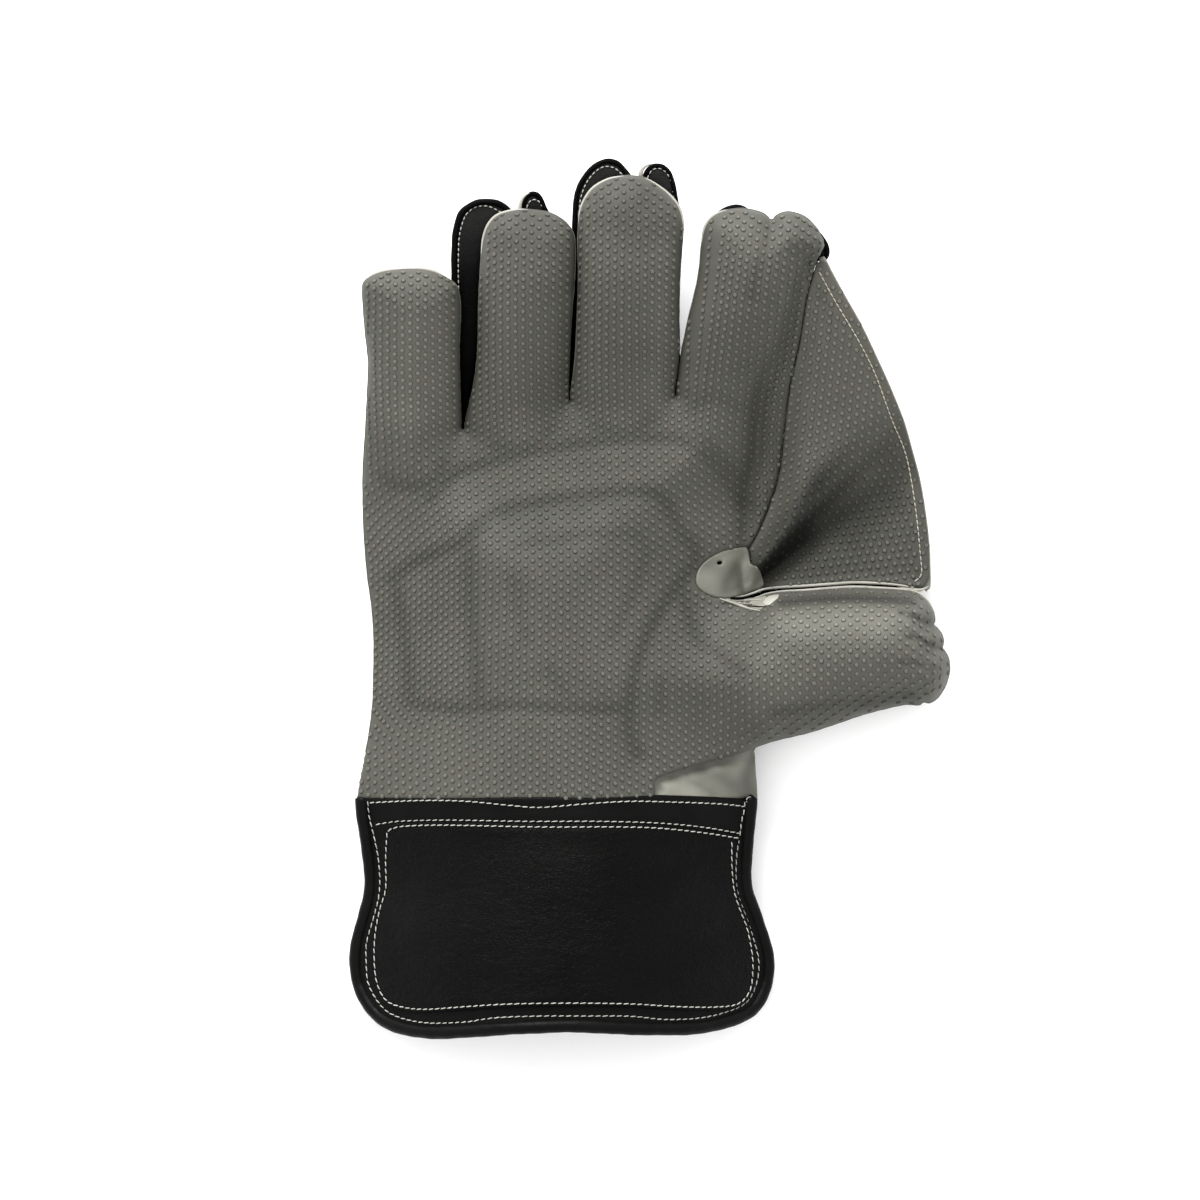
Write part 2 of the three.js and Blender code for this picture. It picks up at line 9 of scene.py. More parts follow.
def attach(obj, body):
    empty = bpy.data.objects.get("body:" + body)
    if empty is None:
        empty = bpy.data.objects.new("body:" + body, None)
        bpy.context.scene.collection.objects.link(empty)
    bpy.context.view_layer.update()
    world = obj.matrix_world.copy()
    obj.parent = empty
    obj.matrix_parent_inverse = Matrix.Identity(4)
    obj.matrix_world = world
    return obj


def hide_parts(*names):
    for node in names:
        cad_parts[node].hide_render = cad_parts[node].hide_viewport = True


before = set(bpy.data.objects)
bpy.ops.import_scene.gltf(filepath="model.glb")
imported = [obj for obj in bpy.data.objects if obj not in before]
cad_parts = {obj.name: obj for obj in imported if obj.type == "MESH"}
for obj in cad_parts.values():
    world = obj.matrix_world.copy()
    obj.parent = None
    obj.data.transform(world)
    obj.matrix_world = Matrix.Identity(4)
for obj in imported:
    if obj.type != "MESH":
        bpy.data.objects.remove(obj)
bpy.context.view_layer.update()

UNIT = 0.34
MIDX, MIDY = 649.5, 598.5
FACING_T, WEB_T, BACKING_T, PATCH_T, BACK_T, CUFF_T = 4.0, 2.0, 1.5, 2.5, 3.5, 4.0
LEVEL = 0.55         # the studio is bright enough to wash out the floor's shadows, and the colours allow for it
rng = np.random.default_rng(11)


# ------------------------------------------------------------------ outlines
def rows(text):
    return np.array([[float(v) for v in pair.split(",")] for pair in text.split()])


PALM_SIDE = rows("356,799 359,780 363,760 367,740 370,720 372,700 372.5,680 373,660 373,640 372,620 370,600 "
                 "367,580 365,560 363.5,540 362.5,520 362,495 362,475 363,455 364.4,435")
LITTLE = rows("365.6,416 367.0,390 368.0,362 365.2,335 363.2,310 362.3,292 363.2,283.5 370.4,276.6 384.6,271.3 "
              "406,269 425.7,269.5 440,274 450.7,280 457.6,286.4 460.6,298 461.4,315 460.2,347 461,392 462.2,429")
RING = rows("463.2,429 465.8,415 469.0,401.5 473.0,383 475.8,364 477.6,338 478.4,301.5 480,271 481.8,245 485.5,230.3 "
            "491,221 498,215.2 509,211.4 521.8,209.6 534,210.3 546,211.8 558,216.5 567,223.5 573.5,232.5 575.8,245 "
            "575.9,262 574.7,286.4 572.3,315 571.0,340 570.2,362 569.5,380 569.2,392 569.2,402")
MIDDLE = rows("569.8,402 570.4,392 571.9,380 573.9,362 575.2,340 576.7,312 577.9,277.3 577.2,245 577.8,225 580.4,208 590.8,190.4 606,180.4 "
              "620,176.7 632,175.9 646,178.7 661.2,188.3 672,198 679.5,208.5 683.1,222 683.4,236 681.8,256 680,286.4 "
              "679.6,320 680.2,338 680.3,347 679.3,358 677.6,374 675.5,388 675.3,396.5")
INDEX = rows("675.8,396.5 676.0,388 678.1,374 679.9,358 681.4,347 684.3,334 687.5,319 693,297 696.7,280 699,263 700.4,245 704,228 711,217.5 "
             "722,211.5 736,208.8 750,209.5 762,213 768,217 771.3,220.8 775,216.2 782,212.6 790,212 803.4,216 "
             "814.4,225.6 821.2,235.2 824.2,245 821,254 816.5,262")
SEAM = rows("816.2,263 810.5,283 806.3,301 802.6,325 799.2,346 795.2,364 791.2,382 788.3,400 786,420 783,446 780,470 776.5,486 "
            "772,500 767,514 761,528 755,540 749.5,549 746.5,558 745,570 743.5,580")
THUMB = rows("744,598.5 757,596.5 767,593.2 781,591 806,589.8 830,588 854,586.7 880,587.7 900,588.8 915,591 924,596 "
             "931,604 935,613 935.6,621 934.4,624.4 938,627.6 942.6,634 944.6,641 943.2,647.6 945.4,650.4 948.6,656 "
             "950.6,664 950.4,672 947.5,683 943,692 937,699.5 930,703.5 924,702.6 920,705.6 912,705.2 904,705.4 "
             "891,708 864,715 836,724.5 808,733.5 778,740.5 758,747 755,750")
WRIST_SIDE = rows("755,757 755.5,768 757,784 758,799")
WEB_EDGE = rows("880,588.4 908,589.2 920,590.5 929,589.5 931.5,583 931.2,572 930.2,546 926.5,513.5 921,480 914,453 "
                "905,422 892,390 877,357 861,324 844,294 832,272 827,262 822,256.5 819,258")
VALLEY = rows("806,262 800,280 795,300 787,326 780,352 768,374 759,395 756,425 755,455 749,485 748,505 748,520 "
              "747,535 746.5,548 742,565 742,582")
PATCH = rows("748,547.5 750,557 751.5,564.5 756,565.5 759.5,570 762.5,577 764,585.5 753,591.5 741,595.8 727,598.2 "
             "716,597.6 704.5,593 697.3,586.5 695.8,578.5 698,570 704.5,562 713,556 724,551 736,548")
TAB = rows("721,598.4 734,599 747,598.4 758,597.2 766,595.6 767,600 765,606 761,609.4 756,609.5 "
           "745,606.6 733,603")
FLAP = rows("762.5,602.5 765,598.4 769,595.8 775,594.6 779.5,594.4 778,598 774,601.4 769.5,605 765.5,605.8")
GUSSET = rows("655,799 655,790 656,779.5 670,773 690,767 711,761 735,755 752,750 754.5,757 755.5,768 757,784 757,799")

# Backs of the fingers, seen past the front pieces: two lobes on the ring and middle fingers.
BACK_LITTLE = rows("378,441 371.5,438 370.8,425 370.5,400 372,360 370,320 368,296 372.5,284 384,278 406,275.5 428,277 444,284 451,296 "
                   "452,330 452,380 455,430")
BACK_RING = rows("463,432 458,400 455,360 453,320 451.6,285 451.2,262 451.6,246 453,229.6 457.4,214.6 462.5,207.6 "
                 "469.8,203 476,200.2 483,198.9 494.7,199.7 503,202.6 510,208 515.2,215 518,220 519.4,214 521,204 "
                 "524,196.5 529.5,192.2 535,191.8 540,194.5 544,200.5 548,210 556,222 564,236 570.5,254 573,280 573.1,320 "
                 "572.6,360 571,404")
BACK_MIDDLE = rows("571.6,404 573.2,360 573.8,320 572.5,280 572.3,245 572.1,222 573.7,198 576.7,187 581.3,178 586.7,170.5 "
                   "592.7,165 599.2,161 606.2,158.8 612.7,159.4 620,162.4 627,170 632.5,177.5 637,184 641,178 645,170.5 "
                   "649.5,165.6 655,163.6 662,164.4 667.6,168 672,173.5 675.2,184 677.6,196 680,214 681,240 680,280 "
                   "677,330 675.5,400")
BACK_INDEX = rows("680,400 682,362 689,330 696,300 701,268 702.5,246 706,229 713,217.5 719,211 727,206.4 736,204.7 "
                  "744,206.4 751,210.5 762,215.5 774,219.5 790,216.5 804,220.5 816,228.5 824.5,238 829,247.5 "
                  "829,256.5 824,262 816,264 808,300 800,345 790,380 788,400")
BACK_THUMB = rows("752,601 781,594.5 817,592.3 854,590.5 886,591.5 913,595 926,605 932.5,625 938.5,642 943,658 "
                  "944.5,671 940.5,684 933,694.5 920,699.5 890,703 863,710 835,719.5 807,730 778,736.5 752,744 "
                  "750.5,700 750.5,640")
PALM_BACK = rows("359,799 363,780 367,760 373,720 376,680 377,640 374,600 370,560 368,520 368,475 370.5,455 371,447")

# The cuff.
CUFF_EDGE = rows("354.5,799 355.5,815 360,845 363.3,872 362.8,894 357,917 350.6,940 348.6,964 352.5,988 363,1009 "
                 "378,1025 400,1034.5 429,1038.8 465,1037.5 510,1034 570,1031.5 615,1033.5 660,1035 699,1034 "
                 "729,1028 753,1018 766,1003 773.6,982 775,961 770.6,940 761.7,913 754,892 752,874 753.3,850 "
                 "755.7,826 758,799")
CUFF_TOP = rows("757.3,803 745,799.5 724.6,797.6 700,796.2 655,794.6 620,796 586,797.3 550,796.2 524.6,796.2 "
                "480,797.6 436,798.6 395,798.6 354.5,799")
PANEL = rows("387,830 385.5,859 385.5,889 379.5,910 375,934 374,958 376.5,982 385.5,1000 402,1007 426,1009 "
             "465,1006 510,1003 570,1002 630,1003 675,1006 714,1007 738,1004 750,991 753,970 752,952 747,928 739,907 "
             "734,889 732,865 732,841 739,838.5 705,833 660,828 615,826.5 540,826.5 450,825 408,826")
STITCH_OUT_LEFT = rows("367.5,801 370.5,835 376.5,865 378.6,886 375,898 369,922 366,943 366,964 368,988 375,1006 "
                       "390,1020 420,1025 456,1023 495,1017 540,1015 585,1015 630,1015.4 666,1019 705,1018 741,1013 "
                       "754,1000 760,982 760,964 756,946 748,922 741,901 736,880 739,850 742,820 748,802")
STITCH_PANEL = rows("387,832 385.5,859 385.5,889 379.5,910 375,934 374,958 376.5,982 385.5,1000 402,1007 426,1009 "
                    "465,1006 510,1003 570,1002 630,1003 675,1006 714,1007 738,1004 750,991 753,970 752,952 747,928 "
                    "739,907 734,889 732,865 732,841")
STITCH_PANEL_TOP = rows("387,832 393,828.5 408,826 450,825 540,826.5 615,826.5 660,828 705,833 739,838.5")
STITCH_UPPER = rows("375,825 399,821.5 450,820 525,821 600,821 660,823 705,827.5 741,834")
STITCH_TOP = rows("369,803 420,800.5 465,801 510,805 540,807 585,803.5 630,801 675,802 720,804 747,807")
WEB_STITCH = rows("818.5,272 833.5,299.7 858,340.8 874.7,373.7 891,417.6 904.8,450.5 911.7,480.6 917.2,519 "
                  "920.7,554.7 921.8,573.9 914.4,582")

# Channels pressed into the padding: depth and width in mm.
GROOVES = [
    (0.8, 1.5, "385,478 395,487 415,490 437,481 446,464"),
    (0.7, 1.5, "493,449 515,452 540,446 551,432"),
    (0.7, 1.5, "595,429 615,435 640,432 653,420"),
    (1.0, 1.8, "432,500 446,486 462,474 495,463 530,455 565,449 600,444 640,441 672,441 694,449 712,463 728,482 742,504"),
    (0.8, 1.5, "698,437 709,448 720,460 741,481"),
    (0.5, 1.4, "689,412 700,404 720,400 741,411"),
    (1.1, 1.8, "392,582 411,567 430,558 455,548 468,540 476,528 490,518 510,511 535,506 565,501 600,497 640,494 660,498 "
               "670,511 680,530 693,547 698,560 692,571 682,583 672,597 660,616 650,634 642,655 634,682 630,712 630,736 638,757"),
    (0.9, 1.6, "470,542 471,590 474,635 477,680 478,706"),
    (0.9, 1.6, "410,706 440,710 465,711 515,708 565,711 626,711"),
    (0.95, 1.7, "398,590 402,620 406,650 408,680 410,706"),
    (0.55, 1.5, "515,582 518,610 525,642"),
    (0.5, 1.5, "550,672 560,690 571,706"),
    (1.0, 1.7, "682,590 688,608 694,626 704,645 720,660 742,672"),
    (0.6, 1.6, "661,684 660,712"),
    (0.5, 1.6, "520,548 560,541 600,537 632,536 646,548 642,575 628,610 612,640"),
]


def spline(pts, step=2.4, closed=False, smooth=True):
    """The table's points joined by a smooth curve, with a point at each step (units)."""
    p = np.asarray(pts, float)
    n = len(p)
    if smooth:
        q = []
        count = n if closed else n - 1
        for i in range(count):
            a = p[(i - 1) % n] if closed or i > 0 else p[0]
            b, c = p[i], p[(i + 1) % n]
            d = p[(i + 2) % n] if closed or i + 2 < n else p[n - 1]
            t = np.linspace(0, 1, 9)[:-1, None]
            q.append(0.5 * (2 * b + (c - a) * t + (2 * a - 5 * b + 4 * c - d) * t ** 2
                            + (3 * b - a - 3 * c + d) * t ** 3))
        q = np.vstack(q + [p[:1] if closed else p[-1:]])
    else:
        q = np.vstack([p, p[:1]]) if closed else p
    s = np.r_[0, np.cumsum(np.hypot(*np.diff(q, axis=0).T))]
    k = max(2, int(round(s[-1] / step)))
    t = np.linspace(0, s[-1], k + 1)
    out = np.c_[np.interp(t, s, q[:, 0]), np.interp(t, s, q[:, 1])]
    return out[:-1] if closed else out


def ease(a, b, v):
    t = np.clip((v - a) / (b - a), 0, 1)
    return t * t * (3 - 2 * t)


def mix(a, b, t):
    return a + (b - a) * t


def distance(path, x, y, closed=False):
    """Distance in units from each point to a path."""
    p = np.vstack([path, path[:1]]) if closed else np.asarray(path)
    x, y = np.asarray(x, np.float32), np.asarray(y, np.float32)
    best = np.full(x.shape, 1e12, np.float32)
    for (ax, ay), (bx, by) in zip(p[:-1], p[1:]):
        dx, dy = bx - ax, by - ay
        l = dx * dx + dy * dy
        if l < 1e-9:
            continue
        t = np.clip(((x - ax) * dx + (y - ay) * dy) / l, 0, 1)
        best = np.minimum(best, (x - ax - t * dx) ** 2 + (y - ay - t * dy) ** 2)
    return np.sqrt(best)


def inside(poly, x, y):
    hit = np.zeros(np.shape(x), bool)
    p = np.asarray(poly)
    for (ax, ay), (bx, by) in zip(p, np.roll(p, -1, axis=0)):
        if ay == by:
            continue
        hit ^= ((ay > y) != (by > y)) & (x < (bx - ax) * (y - ay) / (by - ay) + ax)
    return hit


def offset(path, d, closed=False):
    """A path moved sideways by d units, to the right of its direction (as y runs down)."""
    p = np.asarray(path, float)
    if closed:
        a, b = np.roll(p, 1, axis=0), np.roll(p, -1, axis=0)
    else:
        a, b = np.vstack([p[:1], p[:-1]]), np.vstack([p[1:], p[-1:]])
    t = b - a
    t /= np.maximum(np.hypot(t[:, 0], t[:, 1]), 1e-9)[:, None]
    return p + np.reshape(d, (-1, 1)) * np.c_[-t[:, 1], t[:, 0]]


# ------------------------------------------------------------------ height fields
class Field:
    """Values on a grid with one cell a unit, read between its points."""

    def __init__(self, x0, y0, values):
        self.x0, self.y0, self.v = x0, y0, np.asarray(values, float)

    def __call__(self, x, y):
        h, w = self.v.shape
        fx = np.clip(np.asarray(x, float) - self.x0, 0, w - 1.001)
        fy = np.clip(np.asarray(y, float) - self.y0, 0, h - 1.001)
        i, j = fx.astype(int), fy.astype(int)
        u, v = fx - i, fy - j
        g = self.v
        return ((g[j, i] * (1 - u) + g[j, i + 1] * u) * (1 - v)
                + (g[j + 1, i] * (1 - u) + g[j + 1, i + 1] * u) * v)

    def slope(self, x, y, e=1.5):
        gx = (self(x + e, y) - self(x - e, y)) / (2 * e * UNIT)
        gy = (self(x, y + e) - self(x, y - e)) / (2 * e * UNIT)
        return gx, gy


def blur(a, sigma):
    r = int(3 * sigma + 1)
    k = np.exp(-0.5 * (np.arange(-r, r + 1) / sigma) ** 2)
    k /= k.sum()
    for axis in (0, 1):
        pad = [(r, r) if ax == axis else (0, 0) for ax in (0, 1)]
        b = np.pad(a, pad, mode="edge")
        out = np.zeros_like(a)
        n = a.shape[axis]
        for i, w in enumerate(k):
            out += w * (b[i:i + n] if axis == 0 else b[:, i:i + n])
        a = out
    return a


def wander(shape, cell):
    """Smooth random values of about -1 to 1 with features of the given size."""
    h, w = shape
    g = rng.normal(0, 1, (h // cell + 3, w // cell + 3))
    f = Field(0, 0, blur(g, 0.8))
    yy, xx = np.mgrid[0:h, 0:w]
    return f(xx / cell, yy / cell) * 1.9


def coarse(fn, XX, YY, k=3):
    """A smooth function worked out on every k-th grid point and read between them."""
    x, y = XX[::k, ::k], YY[::k, ::k]
    f = Field(0, 0, fn(x, y))
    return f((XX - XX[0, 0]) / k, (YY - YY[0, 0]) / k)


little, ring = spline(LITTLE), spline(RING)
middle, index = spline(MIDDLE), spline(INDEX)
palm_side, seam, wrist_side = spline(PALM_SIDE), spline(SEAM), spline(WRIST_SIDE)
thumb = spline(THUMB, 1.8)
valley = spline(VALLEY)
front_path = np.vstack([palm_side, little, ring, middle, index, seam, thumb, wrist_side])
tube_path = np.vstack([palm_side, little, ring, middle, index[:-4], valley, thumb, wrist_side])
past_wrist = rows("758,880 356,880")
front_region = np.vstack([front_path, past_wrist])
tube_region = np.vstack([tube_path, past_wrist])

GX, GY = 336, 146
XX, YY = np.meshgrid(np.arange(GX, 964.0), np.arange(GY, 812.0))
curl = lambda ty: 22 * ease(-475, -262, -ty)
thumbness = lambda tx, ty: ease(690, 780, tx) * ease(540, 600, ty) * (1 - ease(745, 790, ty))


def gauss(d, w):
    return np.exp(-(d / w) ** 2)


def front_field():
    p, w, k = ease(400, 520, YY), ease(640, 797, YY), thumbness(XX, YY)
    rim = mix(mix(mix(20, 15.5, p), 14.5, w), mix(14, 18, ease(600, 740, YY)), k) + curl(YY)
    crown = mix(mix(mix(31, 44, p), 43, w), 44, k) + curl(YY)
    reach = mix(mix(mix(17, 66, p), 68, w), 23, k)
    d = coarse(lambda x, y: distance(tube_path, x, y), XX, YY, 2) * UNIT
    d = np.where(inside(tube_region, XX, YY), d, 0)
    t = np.clip(d / reach, 0, 1)
    round_, soft = np.sqrt(1 - (1 - t) ** 2), np.sin(t * np.pi / 2)
    z = rim + (crown - rim) * mix(round_, soft, p * (1 - k))
    # The flat strip between the forefinger's tube and its seam.
    strip = inside(front_region, XX, YY) & ~inside(tube_region, XX, YY)
    dv = distance(valley, XX, YY) * UNIT
    ds = distance(seam, XX, YY) * UNIT
    z += np.where(strip, 1.3 * np.sin(np.pi * np.clip(dv / np.maximum(dv + ds, 0.1), 0, 1)) * ease(0, 3, dv + ds), 0)
    z = blur(z, 1.6)
    far = blur(z, 11)
    z = mix(z, far, p * ease(5, 15, d))
    soft = blur(z, 5)
    z = mix(z, soft, gauss(dv, 7) * ease(255, 300, YY) * (1 - ease(540, 570, YY)) * 0.8)
    z -= 1.7 * gauss(dv, 2.8) * ease(270, 320, YY) * (1 - ease(520, 560, YY))
    return z


def fold_run(x, y):
    return np.clip(((x - 766) * 0.72 - (y - 572) * 0.69) / 200, 0, 1)


def fold_across(x, y):
    """Units from the web's fold, positive below it."""
    return (y - 572) * 0.72 + (x - 766) * 0.69 + np.interp(fold_run(x, y), [0, 0.4, 1.0], [5, 7, 2])


def web_field():
    across = fold_across(XX, YY) * UNIT
    run = fold_run(XX, YY)
    width = mix(4.5, 24, run)
    low = mix(13.5, 15, ease(760, 920, XX)) + 3 * ease(586, 500, YY)
    high = 24 + 0.85 * curl(YY)
    fall = ease(-width * 0.6, width * 0.6, across)
    z = mix(high, low, fall)
    z -= mix(2.2, 0.5, run) * gauss(across - width * 0.55, 3.0 + 5 * run)       # trough at the fold's foot
    z += mix(1.6, 0.4, run) * gauss(across + width * 0.62, 3.5 + 5 * run)       # swell along its upper lip
    p = ease(400, 520, YY)
    seam_z = mix(mix(20, 15.5, p), 14, ease(530, 590, YY)) + curl(YY)
    near = distance(np.vstack([index[-6:], seam]), XX, YY) * UNIT
    z = mix(seam_z, z, ease(0, 9, near))
    crease = distance(spline(rows("820,300 820,330 800,372 790,410 781,455 775,490")), XX, YY) * UNIT
    z -= 0.9 * gauss(crease, 1.6)
    top = distance(spline(rows("781,591 806,589.4 854,586 880,587 912,588.6")), XX, YY) * UNIT
    z += 1.2 * gauss(top, 2.4)
    hem = distance(spline(WEB_STITCH), XX, YY) * UNIT
    z -= 0.35 * gauss(hem, 0.55)
    z += 0.45 * wander(z.shape, 46)
    return blur(z, 1.3)


base_front = front_field()
grooves = np.zeros_like(XX)
for depth, width, pts in GROOVES:
    path = spline(rows(pts), 6)
    grooves = np.maximum(grooves, 0.85 * depth * gauss(distance(path, XX, YY) * UNIT, width * 1.35))
grooves = blur(grooves, 3.0)
creases = np.zeros_like(XX)
for depth, width, pts in [
        (1.9, 0.9, "936,624.4 925,622 912,617 901,613"), (1.7, 0.9, "944,648 932,646 919,640 909,637"),
        (0.8, 1.1, "921,704 912,694 903,688"), (0.8, 1.2, "930,668 915,664 900,663"),
        (0.9, 1.5, "771.5,221 770,232 766,248"), (0.7, 2.2, "766,248 758,275 752,300"),
        (0.6, 1.3, "757,611 790,604 830,600 870,600 905,604")]:
    path = spline(rows(pts), 5)
    creases = np.maximum(creases, depth * gauss(distance(path, XX, YY) * UNIT, width))
pads = 0.4 * gauss(np.abs(YY - mix(466, 452, ease(380, 660, XX))) * UNIT, 5) * ease(375, 400, XX) * (1 - ease(680, 720, XX))
soft_noise = 0.28 * wander(XX.shape, 34) + 0.12 * wander(XX.shape, 15)
front = Field(GX, GY, base_front - grooves - creases + pads + soft_noise)
web = Field(GX, GY, web_field())

back_path = np.vstack([spline(PALM_BACK), spline(BACK_LITTLE), spline(BACK_RING), spline(BACK_MIDDLE),
                       spline(BACK_INDEX), seam[8:], spline(BACK_THUMB)[:90], wrist_side])


def back_field():
    region = np.vstack([front_path, past_wrist])
    rim = mix(6, 3, ease(400, 520, YY))
    d = coarse(lambda x, y: distance(front_path, x, y), XX, YY, 3) * UNIT
    d = np.where(inside(region, XX, YY), d, 0)
    t = np.clip(d / 12, 0, 1)
    return blur(curl(YY) + rim * (1 - np.sin(t * np.pi / 2)), 1.5)


under = Field(GX, GY, back_field())          # the surface that faces down

CXX, CYY = np.meshgrid(np.arange(340.0, 784.0), np.arange(780.0, 1046.0))


def cuff_height(x, y):
    half = mix(68.5, 69.5, ease(880, 960, y)) - 3 * ease(830, 880, y) * (1 - ease(880, 950, y))
    rim = mix(14.5, 11.5, ease(799, 860, y))
    crown = mix(43, 48, ease(799, 1035, y))
    u = np.clip((x - 562) * UNIT / half, -1, 1)
    return rim + (crown - rim) * np.cos(u * np.pi / 2)


cuff_noise = 0.35 * wander(CXX.shape, 50) + 0.16 * wander(CXX.shape, 22)
cuff = Field(340, 780, cuff_height(CXX, CYY) + cuff_noise)


def cuff_under(x, y):
    d = np.maximum(0, 69 - np.abs((x - 562) * UNIT))
    t = np.clip(d / 12, 0, 1)
    return 3 * (1 - np.sin(t * np.pi / 2)) * (1 - ease(800, 860, y))


# ------------------------------------------------------------------ meshes
def to_mm(px):
    return np.c_[(px[:, 0] - MIDX) * UNIT, (MIDY - px[:, 1]) * UNIT]


def add_mesh(name, co, tris, material, slot, node=None, shade=None, pad=None):
    """A piece from points in mm and triangles. shade is painted light and shade, a value for each point that its
    material reads.
    """
    me = bpy.data.meshes.new(name)
    co, tris = np.asarray(co, np.float32), np.asarray(tris, np.int32)
    me.vertices.add(len(co))
    me.vertices.foreach_set("co", (co * 0.001).astype(np.float32).ravel())
    me.loops.add(tris.size)
    me.loops.foreach_set("vertex_index", tris.ravel())
    me.polygons.add(len(tris))
    me.polygons.foreach_set("loop_start", np.arange(0, tris.size, 3, dtype=np.int32))
    me.polygons.foreach_set("use_smooth", np.ones(len(tris), bool))
    me.update(calc_edges=True)
    me.validate()
    if shade is not None:
        at = me.attributes.new("painted_light", "FLOAT", "POINT")
        at.data.foreach_set("value", np.asarray(shade, np.float32))
    me.materials.append(material)
    o = bpy.data.objects.new(name, me)
    bpy.context.scene.collection.objects.link(o)
    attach(o, "root")
    for n in node if isinstance(node, (list, tuple)) else [node] if node else []:
        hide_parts(n)
    return o


def sheet(name, outline, top, thick, material, slot, spacing=1.25, rim=0.3, holes=(), painted_light=None, edge_step=2.6,
          bottom=None, drop=0.0, **more):
    """A closed piece between a height function and one below it, cut to an outline, with rounded edges.
    outline and holes are closed paths in units; top(x, y) gives mm."""
    outer = spline(outline, edge_step, True, False)
    loops = [outer] + [spline(h, edge_step, True, False) for h in holes]
    s = spacing / UNIT
    lo, hi = outer.min(0), outer.max(0)
    gx, gy = np.meshgrid(np.arange(lo[0], hi[0], s), np.arange(lo[1], hi[1], s * 0.866))
    gx[1::2] += s / 2
    x, y = gx.ravel(), gy.ravel()

    def within(x, y):
        hit = inside(outer, x, y)
        for h in loops[1:]:
            hit &= ~inside(h, x, y)
        return hit

    def edge_distance(x, y):
        d = distance(outer, x, y, True)
        for h in loops[1:]:
            d = np.minimum(d, distance(h, x, y, True))
        return d

    keep = within(x, y)
    x, y = x[keep], y[keep]
    keep = edge_distance(x, y) > 0.75 * s + 1.0
    pts = [np.c_[x[keep], y[keep]]]
    for i, loop in enumerate(loops):
        for off in (0.9, 2.6):
            q = np.vstack([offset(loop, off, True), offset(loop, -off, True)])
            q = q[within(q[:, 0], q[:, 1])]
            q = q[edge_distance(q[:, 0], q[:, 1]) > off * 0.93]
            pts.append(q)
    border = np.vstack(loops)
    edges, k = [], 0
    for loop in loops:
        n = len(loop)
        edges += [(k + i, k + (i + 1) % n) for i in range(n)]
        k += n
    allp = np.vstack([border] + pts)
    r = delaunay_2d_cdt([Vector(v) for v in allp], edges, [], 0, 1e-4)
    p = np.array([tuple(v) for v in r[0]])
    tris = np.array([f for f in r[2] if len(f) == 3])
    c = p[tris].mean(1)
    tris = tris[within(c[:, 0], c[:, 1])]
    a, b, cc = p[tris[:, 0]], p[tris[:, 1]], p[tris[:, 2]]
    turn = (b[:, 0] - a[:, 0]) * (cc[:, 1] - a[:, 1]) - (b[:, 1] - a[:, 1]) * (cc[:, 0] - a[:, 0])
    tris = np.where((turn > 0)[:, None], tris[:, ::-1], tris)        # y runs down, so this faces up
    used, tris = np.unique(tris, return_inverse=True)
    tris = tris.reshape(-1, 3)
    p = p[used]
    d = edge_distance(p[:, 0], p[:, 1]) * UNIT
    h = top(p[:, 0], p[:, 1])
    low = h - thick if bottom is None else bottom(p[:, 0], p[:, 1])
    r_ = rim * thick
    t = np.clip(1 - d / r_, 0, 1)
    fall = r_ * (1 - np.sqrt(np.maximum(0, 1 - t * t)))
    n = len(p)
    m = to_mm(p)
    co = np.vstack([np.c_[m, h - fall - drop], np.c_[m, low + fall - drop]])
    ed = np.vstack([tris[:, [0, 1]], tris[:, [1, 2]], tris[:, [2, 0]]])
    key = np.sort(ed, axis=1)
    code = key[:, 0].astype(np.int64) * n + key[:, 1]
    _, first, count = np.unique(code, return_index=True, return_counts=True)
    e = ed[first[count == 1]]
    sides = np.vstack([np.c_[e[:, 1], e[:, 0], e[:, 0] + n], np.c_[e[:, 1], e[:, 0] + n, e[:, 1] + n]])
    faces = np.vstack([tris, tris[:, ::-1] + n, sides])
    shade = None if painted_light is None else np.tile(painted_light(p[:, 0], p[:, 1]), 2)
    return add_mesh(name, co, faces, material, slot, shade=shade, **more)


def tube(path, radius, sides=12, closed=False, flat=1.0):
    """Points and triangles of a tube along a path of points in mm; radius may vary along it."""
    p = np.asarray(path, float)
    n = len(p)
    radius = np.broadcast_to(np.asarray(radius, float), (n,))
    if closed:
        t = np.roll(p, -1, axis=0) - np.roll(p, 1, axis=0)
    else:
        t = np.vstack([p[1] - p[0], p[2:] - p[:-2], p[-1] - p[-2]])
    t /= np.linalg.norm(t, axis=1)[:, None]
    up = np.array([0, 0, 1.0])
    side = np.cross(t, up)
    side /= np.maximum(np.linalg.norm(side, axis=1), 1e-6)[:, None]
    up = np.cross(side, t)
    a = np.linspace(0, 2 * np.pi, sides, endpoint=False)
    co = (p[:, None] + radius[:, None, None] * (side[:, None] * np.cos(a)[None, :, None]
                                                + up[:, None] * flat * np.sin(a)[None, :, None])).reshape(-1, 3)
    tris = []
    for i in range(n if closed else n - 1):
        for k in range(sides):
            q = i * sides + k
            r = i * sides + (k + 1) % sides
            s, u = (q + sides) % (n * sides), (r + sides) % (n * sides)
            tris += [(q, r, u), (q, u, s)]
    if not closed:
        co = np.vstack([co, p[:1] - t[:1] * radius[0] * 0.6, p[-1:] + t[-1:] * radius[-1] * 0.6])
        a0, a1 = n * sides, n * sides + 1
        for k in range(sides):
            tris.append((a0, (k + 1) % sides, k))
            tris.append((a1, (n - 1) * sides + k, (n - 1) * sides + (k + 1) % sides))
    return co, np.array(tris)


def joined(parts):
    co, tris, k = [], [], 0
    for c, t in parts:
        co.append(c)
        tris.append(np.asarray(t) + k)
        k += len(c)
    return np.vstack(co), np.vstack(tris)


